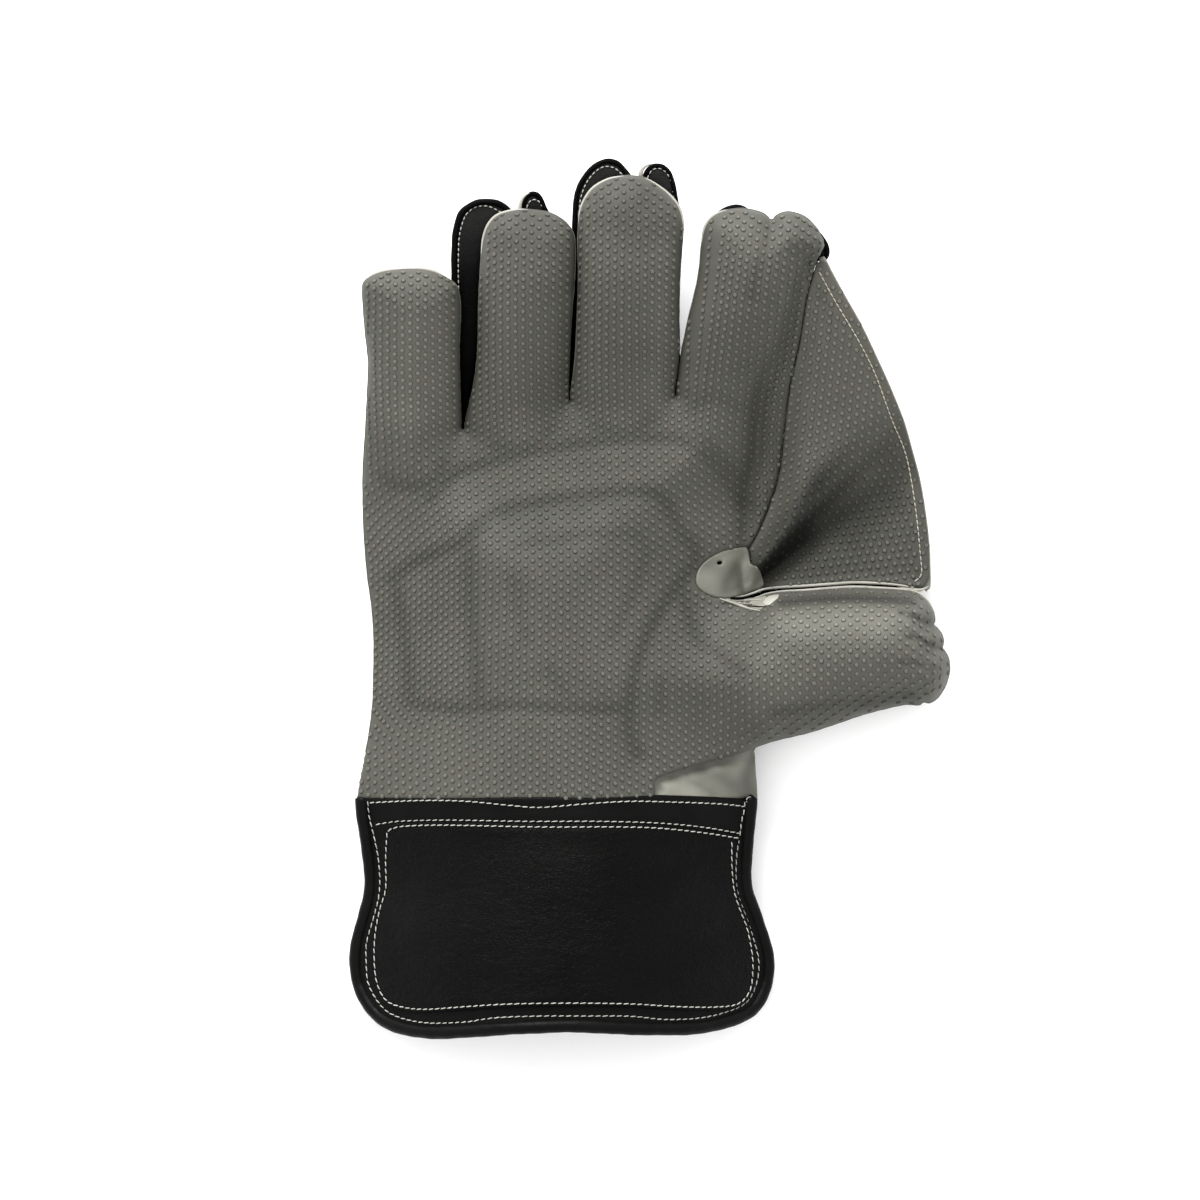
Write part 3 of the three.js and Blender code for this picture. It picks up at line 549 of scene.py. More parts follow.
def stitches(lines, length=2.3, gap=0.25, width=0.3, slant=0.14, height=0.34, lift=0.05, twist=True):
    """Rope-like stitches along paths of points in mm, each a capsule whose ends go down into the leather."""
    rings = np.array([-1, -0.86, -0.5, 0, 0.5, 0.86, 1.0])
    parts = []
    for line in lines:
        p = np.asarray(line, float)
        s = np.r_[0, np.cumsum(np.linalg.norm(np.diff(p, axis=0), axis=1))]
        pitch = length + gap
        k = int(s[-1] / pitch)
        at = (np.arange(k) + 0.5) * s[-1] / max(k, 1)
        for c in at:
            l = length * rng.uniform(0.9, 1.06) / 2
            ts = np.clip(c + rings * l, 0, s[-1])
            q = np.c_[[np.interp(ts, s, p[:, j]) for j in range(3)]].T
            d = q[-1] - q[0]
            d /= np.linalg.norm(d)
            side = np.array([-d[1], d[0], 0])
            side /= max(np.linalg.norm(side), 1e-6)
            q = q + side * (rings * slant * rng.uniform(0.7, 1.3))[:, None]
            q[:, 2] += lift + height * (1 - rings ** 2) - 0.22 * np.abs(rings) ** 3
            w = width * np.sqrt(np.maximum(0.12, 1 - (np.abs(rings) ** 3.5)))
            parts.append(tube(q, w, 6))
    return joined(parts)


def on(field, line, above=0.0):
    m = to_mm(line)
    return np.c_[m, field(line[:, 0], line[:, 1]) + above]


# ------------------------------------------------------------------ materials
class Look:
    """A procedural material with a few short ways to add to it."""

    def __init__(self, name, roughness, specular):
        self.m = bpy.data.materials.new(name)
        self.m.use_nodes = True
        self.t = self.m.node_tree
        self.b = self.t.nodes["Principled BSDF"]
        self.b.inputs["Roughness"].default_value = roughness
        self.b.inputs["Specular IOR Level"].default_value = specular * LEVEL
        self.coord = self.t.nodes.new("ShaderNodeTexCoord").outputs["Object"]
        self.height = None

    def link(self, a, b):
        self.t.links.new(a, b)

    def noise(self, scale, detail=3.0, rough=0.55, stretch=None, distortion=0.0):
        n = self.t.nodes.new("ShaderNodeTexNoise")
        n.inputs["Scale"].default_value = scale
        n.inputs["Detail"].default_value = detail
        n.inputs["Roughness"].default_value = rough
        n.inputs["Distortion"].default_value = distortion
        self.link(self.stretched(stretch), n.inputs["Vector"])
        return n.outputs["Fac"]

    def stretched(self, stretch):
        if not stretch:
            return self.coord
        mp = self.t.nodes.new("ShaderNodeMapping")
        mp.inputs["Scale"].default_value = stretch
        self.link(self.coord, mp.inputs["Vector"])
        return mp.outputs["Vector"]

    def cells(self, scale, feature="F1", stretch=None):
        n = self.t.nodes.new("ShaderNodeTexVoronoi")
        n.feature = feature
        n.inputs["Scale"].default_value = scale
        self.link(self.stretched(stretch), n.inputs["Vector"])
        return n.outputs["Distance"]

    def ramp(self, value, low, high, a=0.0, b=1.0):
        n = self.t.nodes.new("ShaderNodeMapRange")
        for k, v in zip(("From Min", "From Max", "To Min", "To Max"), (low, high, a, b)):
            n.inputs[k].default_value = v
        self.link(value, n.inputs["Value"])
        return n.outputs["Result"]

    def blend(self, fac, a, b, mode="MIX"):
        n = self.t.nodes.new("ShaderNodeMix")
        n.data_type = "RGBA"
        n.blend_type = mode
        for socket, v in ((n.inputs[0], fac), (n.inputs[6], a), (n.inputs[7], b)):
            if isinstance(v, (int, float)):
                socket.default_value = v
            elif isinstance(v, tuple):
                socket.default_value = (*v, 1.0)
            else:
                self.link(v, socket)
        return n.outputs[2]

    # Multiplies a colour by the piece's painted light and shade, stored as a value for each point.
    def with_painted_light(self, colour):
        at = self.t.nodes.new("ShaderNodeAttribute")
        at.attribute_name = "painted_light"
        return self.blend(1.0, colour, at.outputs["Color"], "MULTIPLY")

    def colour(self, socket):
        self.link(socket, self.b.inputs["Base Color"])

    def rough(self, socket):
        self.link(socket, self.b.inputs["Roughness"])

    def bump(self, value, distance, strength=1.0):
        n = self.t.nodes.new("ShaderNodeBump")
        n.inputs["Distance"].default_value = distance
        n.inputs["Strength"].default_value = strength
        self.link(value, n.inputs["Height"])
        if self.height is not None:
            self.link(self.height, n.inputs["Normal"])
        self.height = n.outputs["Normal"]
        self.link(self.height, self.b.inputs["Normal"])


def rubber_look(name, light):
    k = Look(name, 0.62, 0.32)
    light = light * LEVEL
    base = tuple(v * light for v in (0.0890, 0.0880, 0.0740))
    warm = tuple(v * light for v in (0.1010, 0.0900, 0.0730))
    cool = tuple(v * light for v in (0.0790, 0.0865, 0.0745))
    c = k.blend(k.ramp(k.noise(45, 3), 0.35, 0.65), tuple(v * 0.93 for v in base), tuple(v * 1.07 for v in base))
    c = k.blend(k.ramp(k.noise(260, 2), 0.52, 0.74, 0, 0.75), c, warm)
    c = k.blend(k.ramp(k.noise(310, 2, stretch=(1, 1.2, 0.9)), 0.55, 0.76, 0, 0.7), c, cool)
    c = k.blend(k.ramp(k.noise(1900, 2), 0.3, 0.7, 0, 0.3), c, tuple(v * 0.72 for v in base))
    k.colour(k.with_painted_light(c))
    k.rough(k.ramp(k.noise(120, 3), 0.3, 0.7, 0.55, 0.72))
    k.bump(k.noise(2300, 3, 0.6), 0.00010, 0.55)
    k.bump(k.noise(420, 3), 0.00022, 0.35)
    return k.m


def leather_look(name, dark, lightc, roughness, specular, grain=1100, depth=0.00012, mottle=60, crease=0.0, with_painted_light=False):
    k = Look(name, roughness, specular)
    c = k.blend(k.ramp(k.noise(mottle, 4), 0.3, 0.7), tuple(v * LEVEL for v in dark), tuple(v * LEVEL for v in lightc))
    k.colour(k.with_painted_light(c) if with_painted_light else c)
    k.rough(k.ramp(k.noise(mottle * 2.2, 3), 0.3, 0.7, roughness - 0.07, roughness + 0.08))
    k.bump(k.cells(grain, "DISTANCE_TO_EDGE", (1, 1, 1)), depth, 0.6)
    k.bump(k.noise(grain * 0.45, 4, 0.6, distortion=0.6), depth * 1.8, 0.5)
    if crease:
        k.bump(k.noise(95, 4, 0.6, stretch=(0.7, 1.5, 1), distortion=1.3), crease, 0.6)
    return k.m


RUBBER = rubber_look("rubber_facing", 1.045)
# The pimples' rubber: the facing's rubber made lighter, a painted highlight on the pimples.
PIMPLE_PAINTED_LIGHT = rubber_look("rubber_pimples", 1.42)
TINTED = leather_look("leather_patch", (0.148, 0.147, 0.120), (0.212, 0.208, 0.175), 0.50, 0.4, 900, 0.00008, 40, 0.0004, True)
LIGHT = leather_look("leather_light", (0.27, 0.26, 0.215), (0.38, 0.37, 0.32), 0.58, 0.3, 1200, 0.00010, 90)
# Black leather made lighter as if lit (painted light), for the finger and hand backs.
BLACK_PAINTED_LIT = leather_look("leather_black_lit", (0.0060, 0.0060, 0.0058), (0.0110, 0.0110, 0.0106), 0.50, 0.10, 1300, 0.00022, 80, 0.0004, True)
CUFF_LOOK = leather_look("cuff_edge_leather", (0.0026, 0.0026, 0.0024), (0.0050, 0.0050, 0.0048), 0.50, 0.08, 1300, 0.00020, 80, 0.0004)
EDGE = leather_look("leather_edge", (0.120, 0.118, 0.100), (0.170, 0.166, 0.142), 0.6, 0.2, 1200, 0.00008, 90)
GREY = leather_look("leather_grey", (0.165, 0.164, 0.136), (0.225, 0.220, 0.188), 0.50, 0.4, 900, 0.00008, 40, 0.0004)
WALL = leather_look("leather_wall", (0.170, 0.165, 0.140), (0.240, 0.235, 0.205), 0.60, 0.3, 900, 0.00010, 60, 0.0005)
PALE = leather_look("leather_pale", (0.40, 0.385, 0.33), (0.56, 0.55, 0.49), 0.58, 0.3, 1200, 0.00010, 90)
BLACK = leather_look("leather_black", (0.0014, 0.0014, 0.0013), (0.0030, 0.0030, 0.0028), 0.52, 0.05, 1300, 0.00012, 80, 0.0004)
PIPING = leather_look("leather_piping", (0.0026, 0.0026, 0.0025), (0.0046, 0.0046, 0.0044), 0.42, 0.09, 1500, 0.00014, 70, 0.0003)
PANEL_LOOK = leather_look("cuff_leather", (0.0008, 0.0008, 0.0007), (0.0022, 0.0022, 0.0020), 0.44, 0.085, 1300, 0.00042, 55, 0.0009)


def thread_look(name, colour):
    k = Look(name, 0.75, 0.25)
    colour = tuple(v * LEVEL for v in colour)
    k.colour(k.blend(k.ramp(k.noise(700, 2), 0.35, 0.65), tuple(v * 0.75 for v in colour), colour))
    k.bump(k.noise(2600, 2, stretch=(1, 0.4, 1)), 0.00010, 0.8)
    return k.m


THREAD = thread_look("thread_white", (0.66, 0.65, 0.60))
CREAM = thread_look("thread_cream", (0.60, 0.56, 0.45))
# A dark stand-in for shade in narrow seams, a notch and a streak: painted shade.
SHADE = leather_look("seam_painted_shade", (0.018, 0.018, 0.015), (0.032, 0.031, 0.027), 0.7, 0.1)
# The darkest stand-in for shade: painted shadow inside the patch's hole and the thumb's slit.
PAINTED_SHADOW = leather_look("painted_shadow_black", (0.001, 0.001, 0.001), (0.002, 0.002, 0.002), 0.8, 0.05)

# ------------------------------------------------------------------ the hand, front
slit = spline(rows("729,598.6 744,597.3 757,595.6 767,592 781,590 806.5,588.6 830,587 854,585.4 880,586.2 908,588.6 920,590.6"))
gusset_line = spline(rows("752,750 735,755 711,761 690,767 670,773 656,779.5 655,790 655,799"))
front_rim = np.vstack([palm_side, little, ring, middle, index, seam, thumb])
near_root = ease(300, 365, front_rim[:, 1]) * (front_rim[:, 1] < 470) * (front_rim[:, 0] > 480) * (front_rim[:, 0] < 700)
closing = near_root * np.where(front_rim[:, 0] > 640, ease(344, 358, front_rim[:, 1]), ease(366, 394, front_rim[:, 1]))
facing_outline = np.vstack([offset(front_rim, 0.75 - 0.35 * near_root - 0.30 * closing)[1:-1], gusset_line])
facing_outline[0] = (357.5, 799)
patch_line = spline(PATCH, closed=True)
patch_inside = lambda x, y: inside(patch_line, x, y)


def facing_top(x, y):
    z = front(x, y)
    d = distance(patch_line, x, y, True) * UNIT
    return z - np.where(patch_inside(x, y), 2.2 * ease(0, 1.0, d), 0)


# Painted light and shade on the facing, multiplied into its colour: darker in the grooves, creases and the forefinger's
# valley (painted shade), and lighter or darker in bands and patches where more or less light falls, such as the thumb's
# lit upper band, its shaded slit and lower edge, and the fingers' flanks.
front_painted_light = Field(GX, GY, blur(
    1 - 0.38 * np.clip(grooves, 0, 1.2) - 0.28 * np.clip(creases, 0, 1.5)
    - 0.20 * gauss(distance(valley, XX, YY) * UNIT, 2.4) * ease(270, 320, YY)
    - 0.12 * gauss(distance(spline(rows("565,262 566,300 563,345 561,385")), XX, YY) * UNIT, 3.0)
    + (0.09 + 0.25 * ease(285, 325, YY)) * ease(466, 458, XX) * ease(455, 410, YY)
    - 0.26 * gauss(np.hypot(XX - 524, YY - 226), 27) - 0.28 * gauss(np.hypot((XX - 630) * 0.8, YY - 200), 30)
    + 0.15 * gauss(distance(spline(rows("505,285 508,340 512,385")), XX, YY), 20)
    - 0.26 * gauss(distance(rows("365,300 368,350 368,400 365,440"), XX, YY), 9) - 0.14 * gauss(distance(rows("456,300 456,350 456,400"), XX, YY), 10)
    + 0.12 * gauss(distance(rows("411,330 408,400 402,450"), XX, YY), 12)
    + 0.18 * gauss(distance(spline(rows("664,250 664,300 662,345 655,392")), XX, YY), 12)
    + 0.20 * gauss(distance(spline(rows("786,300 778,340 768,380")), XX, YY), 8)
    + 0.55 * gauss(distance(rows("572.5,300 572.5,345 571,375 569.5,402"), XX, YY), 5)
    + 0.40 * gauss(distance(rows("683,320 680.5,345 678,375 675.5,398"), XX, YY), 6)
    - 0.42 * gauss(distance(rows("775,712 810,708 850,702 882,698 906,697"), XX, YY), 7)
    + 0.14 * gauss(distance(rows("668,400 696,450 712,520"), XX, YY), 34)
    - 0.17 * gauss(distance(rows("480,532 510,521 560,512 615,508"), XX, YY), 10)
    + 0.06 * gauss(distance(rows("760,665 820,670 890,660"), XX, YY), 20)
    + 0.50 * gauss(YY - 622, 17) * ease(757, 800, XX) * ease(935, 905, XX)
    - 0.72 * gauss(distance(rows("782,602.5 806,600 850,598 890,599.5 912,602"), XX, YY), 5)
    - 0.30 * gauss(distance(rows("785,730 808,724 840,714 870,706 900,699 925,694"), XX, YY), 6)
    + 0.20 * thumbness(XX, YY) + 0.08 * gauss(YY - 228, 14) * (XX > 695)
    + 0.26 * gauss(np.hypot(XX - 752, YY - 240), 21)
    + 0.13 * gauss(distance(rows("722,405 730,450 732,500 722,535"), XX, YY), 20)
    + 0.12 * gauss(distance(rows("690,735 740,700 790,690"), XX, YY), 26)
    - 0.07 * gauss(np.hypot((XX - 560) * 0.6, YY - 545), 55)
    + 0.07 * ease(680, 760, YY) * ease(700, 640, XX), 1.2))
# Painted light and shade on the web, multiplied into its colour: dark bands along the fold and above it (painted
# shade), a lighter strip just below the fold, darker towards the thumb's slit.
across_ = (YY - 572) * 0.72 + (XX - 766) * 0.69
run_ = fold_run(XX, YY)
lip = mix(5, 12, run_)
fade = mix(16, 84, run_)
dark = ease(-8 - 1.7 * lip, -4 - 0.2 * lip, across_) * (1 - ease(2, 2 + fade, across_))
web_painted_light = Field(GX, GY, blur(np.clip(
    1.20 - np.interp(run_, [0, 0.25, 0.5, 0.75, 1], [1.14, 1.10, 0.92, 0.62, 0.32]) * dark
    - np.interp(run_, [0, 0.1, 0.3, 0.5, 0.7, 0.85, 1], [0.40, 0.60, 0.76, 0.98, 0.46, 0.20, 0.05])
    * gauss(across_ - np.interp(run_, [0.1, 0.3, 0.5, 0.7], [-18, -21, -28, -30]), mix(9, 14, ease(0, 0.6, run_)))
    + 0.20 * gauss(across_ - 3, 9) * ease(0.25, 0.4, run_) * ease(0.85, 0.7, run_)
    - 0.26 * gauss(across_ - 38, 17) * ease(0.3, 0.45, run_) * ease(0.85, 0.7, run_)
    - 0.22 * ease(0, 40, across_) - 0.10 * ease(0, 25, across_) * ease(0.5, 0.2, run_), 0.06, 1.3), 2.0))

sheet("palm_facing", facing_outline, facing_top, FACING_T, RUBBER, "rubber_facing", 1.2, 0.28, painted_light=front_painted_light,
      node="palm_facing", pad=0.7)

web_free = spline(WEB_EDGE[4:-2], 2.4)
web_slit = spline(rows("763,588 781,586.4 806.5,585.2 830,583.6 854,582 880,582.8 900,584.6 915,586.8 926,588.2"))
web_in = rows("749.5,549 751,557 752.5,565 757,566.5 760.5,571 763,578")
web_outline = np.vstack([seam[:-6], web_in, web_slit[:-1], offset(web_free, -1.1)[2:], rows("821.5,262")])
backing_outline = np.vstack([offset(seam, -3.5)[2:-6], web_in, offset(web_slit, 1.8), rows("926.5,591.8 931,588"), web_free[1:], rows("824,257 819,258")])
sheet("web_facing", web_outline, web, WEB_T, RUBBER, "rubber_facing", 1.2, 0.3, painted_light=web_painted_light, node="web_facing")
sheet("web_backing", backing_outline, lambda x, y: web(x, y) - WEB_T + 0.15, BACKING_T, LIGHT, "leather_pale", 1.6, 0.3,
      node="web_backing")

# The patch, with a small hole through it and a fold across.
patch_fold = spline(rows("742,562 735,573 730,582 728,592"))
patch_dents = [(0.7, 2.2, patch_fold), (0.3, 1.6, spline(rows("706,568 716,572 727,584"))),
               (0.45, 1.0, spline(rows("754,570 748,582 735,590")))]


def patch_top(x, y):
    z = front(x, y) + 0.25
    z = np.where(x > 745, mix(z, web(x, y) + 0.2, ease(745, 757, x)), z)
    for depth, width, path in patch_dents:
        z = z - depth * gauss(distance(path, x, y) * UNIT, width)
    return z + 0.7 * gauss(np.hypot(x - 722, y - 570) * UNIT, 5)


hole = np.array([[719.6 + 2.7 * math.cos(a) * 1.0, 562.8 + 1.9 * math.sin(a) - 0.35 * math.cos(a)]
                 for a in np.linspace(0, 2 * np.pi, 15)[:-1]])
# Painted light and shade on the patch: lighter at its lower left and along its upper edge and right side, darker in its
# fold.
patch_painted_light = lambda x, y: (0.92 + 0.36 * gauss(np.hypot((x - 705) * 0.7, y - 580), 9) + 0.46 * gauss(distance(rows("724,559 735,555 747,558"), x, y), 8)
                           - 0.30 * gauss(distance(rows("738,571 732,580 727,588"), x, y), 7) - 0.12 * gauss(distance(rows("700,566 712,560"), x, y), 4)
                           + 0.28 * ease(747, 753, x) + 0.50 * gauss(distance(rows("743,562 745,583"), x, y), 4.5))
sheet("crotch_patch", patch_line, patch_top, PATCH_T - 0.6, TINTED, "leather_grey", 0.8, 0.3, holes=[hole], edge_step=1.8,
      node="crotch_patch", painted_light=patch_painted_light)
# A dark tube of painted shade in the patch's notch.
co, tr = tube(on(front, spline(rows("747,546.5 749,551 750.2,557 751,563"), 1.0), 0.42), 0.2, 8)
add_mesh("patch_notch", co, tr, SHADE, "leather_black")
# A near-black disc under the hole: painted shadow inside it.
disc = np.array([[719.6 + 4.4 * math.cos(a), 562.8 + 3.6 * math.sin(a)] for a in np.linspace(0, 2 * np.pi, 21)[:-1]])
sheet("patch_hole_shadow", disc, lambda x, y: patch_top(x, y) - 1.3, 0.5, PAINTED_SHADOW, "leather_black", 0.8, 0.2, edge_step=2)


def gusset_top(x, y):
    z = front(x, y) - 0.3
    near = distance(gusset_line[:-4], x, y) * UNIT
    z = z - 2.4 * (1 - ease(0, 5.0, near))
    for depth, width, pts in [(1.3, 1.8, "752,756 745,768 741,782 744,797"), (0.8, 2.0, "700,765 712,776 735,788"),
                              (0.7, 1.6, "672,776 690,784 712,796")]:
        z = z - depth * gauss(distance(spline(rows(pts)), x, y) * UNIT, width)
    return z + 0.8 * gauss(np.hypot(x - 728, y - 778) * UNIT, 4)


# Painted light and shade on the gusset: lighter at its lower left and on a ridge, darker in its folds and in the shade
# under the thumb's edge.
gusset_painted_light = lambda x, y: (1.05 + 0.42 * gauss(distance(rows("652,786 690,795"), x, y), 11) + 0.25 * gauss(distance(rows("745,752 735,772"), x, y), 6)
                            - 0.34 * gauss(distance(rows("752,764 748,780 752,797"), x, y), 7)
                            - 0.30 * gauss(distance(gusset_line[:-4], x, y), 9) - 0.15 * gauss(distance(rows("700,772 722,782 738,795"), x, y), 8))
gusset_out = np.vstack([rows("651,799 651,776"), offset(gusset_line[::-1], 4)[6:], rows("754.5,752 755,757 755.5,768 757,784 758,799")])
sheet("wrist_gusset", rows("650,799 650,774 670,768 690,762 711,756 735,750 750,746.5 755,752 755.3,757 755.7,768 757,784 757.8,799"),
      gusset_top, PATCH_T, TINTED, "leather_grey", 1.0, 0.3, node="wrist_gusset", painted_light=gusset_painted_light)
sheet("seam_tab", TAB, lambda x, y: front(x, y) + 0.35 - 0.5 * gauss(np.hypot(x - 748, y - 603) * UNIT, 2.5), 1.2, LIGHT,
      "leather_pale", 0.8, 0.35, edge_step=1.6, node="seam_tab")
sheet("seam_flap", FLAP, lambda x, y: front(x, y) + 0.6 + 0.2 * gauss(distance(rows("764,600 770,597 779,595.5"), x, y) * UNIT, 0.8), 0.7, PALE,
      "leather_pale", 0.7, 0.4, edge_step=1.4)
layers = []
for dy, r, pts in [(0, 0.42, "720,598.6 730,601.9 741,605.8 751,609 760,610.6"), (0, 0.17, "736,600.6 748,600.2 758,600 765,599.4"),
                   (0, 0.13, "738,603 748,603.6 757,603.4")]:
    line = spline(rows(pts), 1.6)
    layers.append(tube(on(front, line, 0.62), r * np.sin(np.linspace(0.25, np.pi - 0.25, len(line))) + 0.05, 8, False, 0.7))
co, tr = joined(layers)
add_mesh("seam_layers", co, tr, PALE, "leather_pale")
line = spline(rows("747,605.8 754,606.2 760,606.8 766,606.2"), 1.6)
co, tr = tube(on(front, line, 0.55), 0.26 * np.sin(np.linspace(0.2, np.pi - 0.2, len(line))) + 0.04, 8, False, 0.6)
add_mesh("seam_shade", co, tr, SHADE, "leather_black")
# A near-black tube where the thumb's slit begins: painted shade in the slit.
line = spline(rows("730.5,598.3 737,598.6 744,598.3 750,597.2"), 1.6)
co, tr = tube(on(front, line, 0.42), 0.40 * np.sin(np.linspace(0.35, np.pi - 0.5, len(line))) ** 0.6 + 0.05, 8, False, 0.6)
add_mesh("slit_start_shadow", co, tr, PAINTED_SHADOW, "leather_black")
# A near-black sheet below the thumb's slit: painted shadow in the gap.
dark = spline(rows("728,598.8 744,597.4 757,595.8 767,592.2 781,590.3 806.5,588.9 830,587.4 854,585.8 880,586.6 900,588.4"), 2)
strip = np.vstack([offset(dark, -2.4), offset(dark, 2.4)[::-1]])
sheet("slit_shadow_sheet", strip, lambda x, y: np.minimum(front(x, y), web(x, y)) - 2.0, 0.8, PAINTED_SHADOW, "leather_black", 0.8, 0.2, edge_step=2)
tuck = spline(rows("735,596.6 743,595.9 753,592.9 765,588.7 781,586.9 806.5,585.5 830,583.9 854,582.3 880,583.1 900,584.9 914,587.2"), 2)
turned = spline(rows("898,586.6 906,588.6 914,590 922,589.6 929,586.4"), 2)
thin = 0.50 * np.sin(np.linspace(0.12, np.pi - 0.12, len(tuck))) ** 0.4
tz = np.where(tuck[:, 0] < 766, front(tuck[:, 0], tuck[:, 1]) + 0.1, web(tuck[:, 0], tuck[:, 1]) - 0.25)
co, tr = joined([tube(np.c_[to_mm(offset(tuck, 0.3)), blur(tz[:, None], 2)[:, 0]], thin + 0.04, 8),
                 tube(np.c_[to_mm(turned), web(turned[:, 0], turned[:, 1]) - 0.7], 0.12 + 0.55 * np.sin(np.linspace(0, np.pi, len(turned))), 10)])
add_mesh("web_turned_edge", co, tr, PALE, "leather_pale")


# ------------------------------------------------------------------ walls between front and back
def wall(name, path, low_in, rim_field=front, swell=0.7):
    """A leather wall that runs down from the front's edge to the back, a little slack."""
    n = len(path)
    s = np.r_[0, np.cumsum(np.hypot(*np.diff(path, axis=0).T))] * UNIT
    low = offset(path, low_in / UNIT)
    steps = 7
    zt = rim_field(path[:, 0], path[:, 1]) - 0.9
    zb = under(low[:, 0], low[:, 1]) + BACK_T - 0.4
    outer, inner = [], []
    for k in range(steps):
        t = k / (steps - 1)
        wrinkle = 0.28 * np.sin(s * 0.9 + 3 * np.sin(s * 0.21)) * math.sin(math.pi * t) + 0.16 * np.sin(s * 2.3 + 5 * t)
        out = swell * math.sin(math.pi * t) + wrinkle
        at = offset(path, 0.7) * (1 - t) + low * t
        z = zt * (1 - t) + zb * t
        outer.append(np.c_[to_mm(offset(at, -out / UNIT)), z])
        inner.append(np.c_[to_mm(offset(at, 1.5 / UNIT)), z])
    co = np.vstack(outer + inner)
    tris, half = [], n * steps
    i = np.arange(n - 1)
    for k in range(steps - 1):
        a, b = k * n + i, (k + 1) * n + i
        tris += [np.c_[a, b + 1, b], np.c_[a, a + 1, b + 1], np.c_[a + half, b + half, b + 1 + half],
                 np.c_[a + half, b + 1 + half, a + 1 + half]]
    top, bot = i, (steps - 1) * n + i
    tris += [np.c_[top, top + half, top + 1 + half], np.c_[top, top + 1 + half, top + 1],
             np.c_[bot, bot + 1 + half, bot + half], np.c_[bot, bot + 1, bot + 1 + half]]
    for e in (0, n - 1):
        r = np.arange(steps - 1) * n + e
        q = np.vstack([np.c_[r, r + n, r + n + half], np.c_[r, r + n + half, r + half]])
        tris.append(q if e == 0 else q[:, ::-1])
    add_mesh(name, co, np.vstack(tris), WALL, "leather_grey", name)


wall("side_little", np.vstack([palm_side, little])[:-1], 2.6)
wall("side_ring", ring[1:-1], 3.0)
wall("side_middle", middle[1:-1], 3.0)
wall("side_index", np.vstack([index[1:], seam[:-8]]), 2.6)
wall("side_thumb", np.vstack([thumb, wrist_side]), 2.4)

# The walls' upper edge, seen as a thin line round the fingers, and paler and thicker at some of the tips.
edges_, lips = [], []
for path, strong in [(np.vstack([palm_side[20:], little])[:-2], [(384, 272), (430, 271)]),
                     (ring[2:-2], [(483, 238), (487, 226), (496, 216), (510, 211)]),
                     (middle[2:-2], [(580, 208), (586, 197), (595, 186), (606, 179), (660, 187), (670, 196), (678, 207), (682.6, 222)]),
                     (index[2:-14], [(704, 228), (711, 217)]),
                     (thumb[6:], [(800, 590), (840, 587), (880, 588), (905, 590), (770, 592)])]:
    w = np.zeros(len(path))
    for x, y in strong:
        w = np.maximum(w, gauss(np.hypot(path[:, 0] - x, path[:, 1] - y), 13 if y < 500 else 26))
    root = 1 - ease(300, 372, path[:, 1]) * (path[:, 1] < 480) * (path[:, 0] > 380)
    z = front(path[:, 0], path[:, 1])
    line = offset(path, 0.6 + 0.3 * w)
    edges_.append(tube(np.c_[to_mm(line), z - 0.85 - 0.5 * (1 - root)], 0.08 + 0.13 * root + 0.03 * np.sin(np.arange(len(w)) * 0.8), 8))
    for run in np.split(np.arange(len(path)), np.where(np.diff((w > 0.12).astype(int)) != 0)[0] + 1):
        if len(run) > 6 and w[run].mean() > 0.12:
            t = np.linspace(0, np.pi, len(run))
            q = offset(path, 0.6 if path[0, 1] > 560 else 1.0)[run]
            lips.append(tube(np.c_[to_mm(q), z[run] - 0.62], 0.14 + 0.54 * np.sin(t) ** 0.6 * (0.9 if path[0, 1] > 560 else 1), 8))
line = spline(rows("577.6,312 576.6,335 575.4,356 573.4,375 571.2,390 570.2,399"), 2.4)
edges_.append(tube(on(front, line, 0.1), 0.30 * np.sin(np.linspace(0.2, np.pi - 0.2, len(line))) ** 0.5, 8, False, 0.6))
co, tr = joined(edges_)
add_mesh("finger_edges", co, tr, EDGE, "leather_grey")
co, tr = joined(lips)
add_mesh("finger_lips", co, tr, PALE, "leather_pale")

# Dark leather at the bottom of the slit between two fingers, and a dark tube of painted shade along the forefinger's
# seam.
sheet("slit_floor", rows("570.5,236 578,236 577.5,290 575,345 572.6,399 568.6,399 569.5,350 570.8,300"),
      lambda x, y: under(x, y) + 1.3, 1.0, BLACK, "leather_black", 1.2, 0.2, edge_step=3)
seam_low = offset(seam, 0.4)[4:-10]
co, tr = tube(np.c_[to_mm(seam_low), np.minimum(front(seam_low[:, 0], seam_low[:, 1]), web(seam_low[:, 0], seam_low[:, 1])) - 0.45],
              0.13 + 0.03 * np.sin(np.arange(len(seam_low)) * 0.7), 8)
add_mesh("seam_shadow", co, tr, SHADE, "leather_black")

# ------------------------------------------------------------------ backs
back_top = lambda x, y: under(x, y) + BACK_T


def back_sheet(name, outline, quilts=(), pad=0.5, spacing=1.8, node=None):
    line = spline(outline, 2.4, True)
    grooves_ = [spline(rows(q)) for q in quilts]

    def top(x, y):
        return back_top(x, y) - 0.3

    def low(x, y):
        z = under(x, y)
        for g in grooves_:
            z = z + 1.0 * gauss(distance(g, x, y) * UNIT, 1.2)
        return np.maximum(z, 0.0)
    # Painted light on the backs: much lighter at the fingertips, where they rise towards the light, very dark further
    # down the fingers, between the two on the hand's back.
    sheet(name, line, top, BACK_T, BLACK_PAINTED_LIT, "leather_black", spacing, 0.3, bottom=low, node=node or name, pad=pad,
          painted_light=lambda x, y: mix(mix(1.9, 0.12, ease(200, 280, y)), 0.45, ease(402, 440, y)))


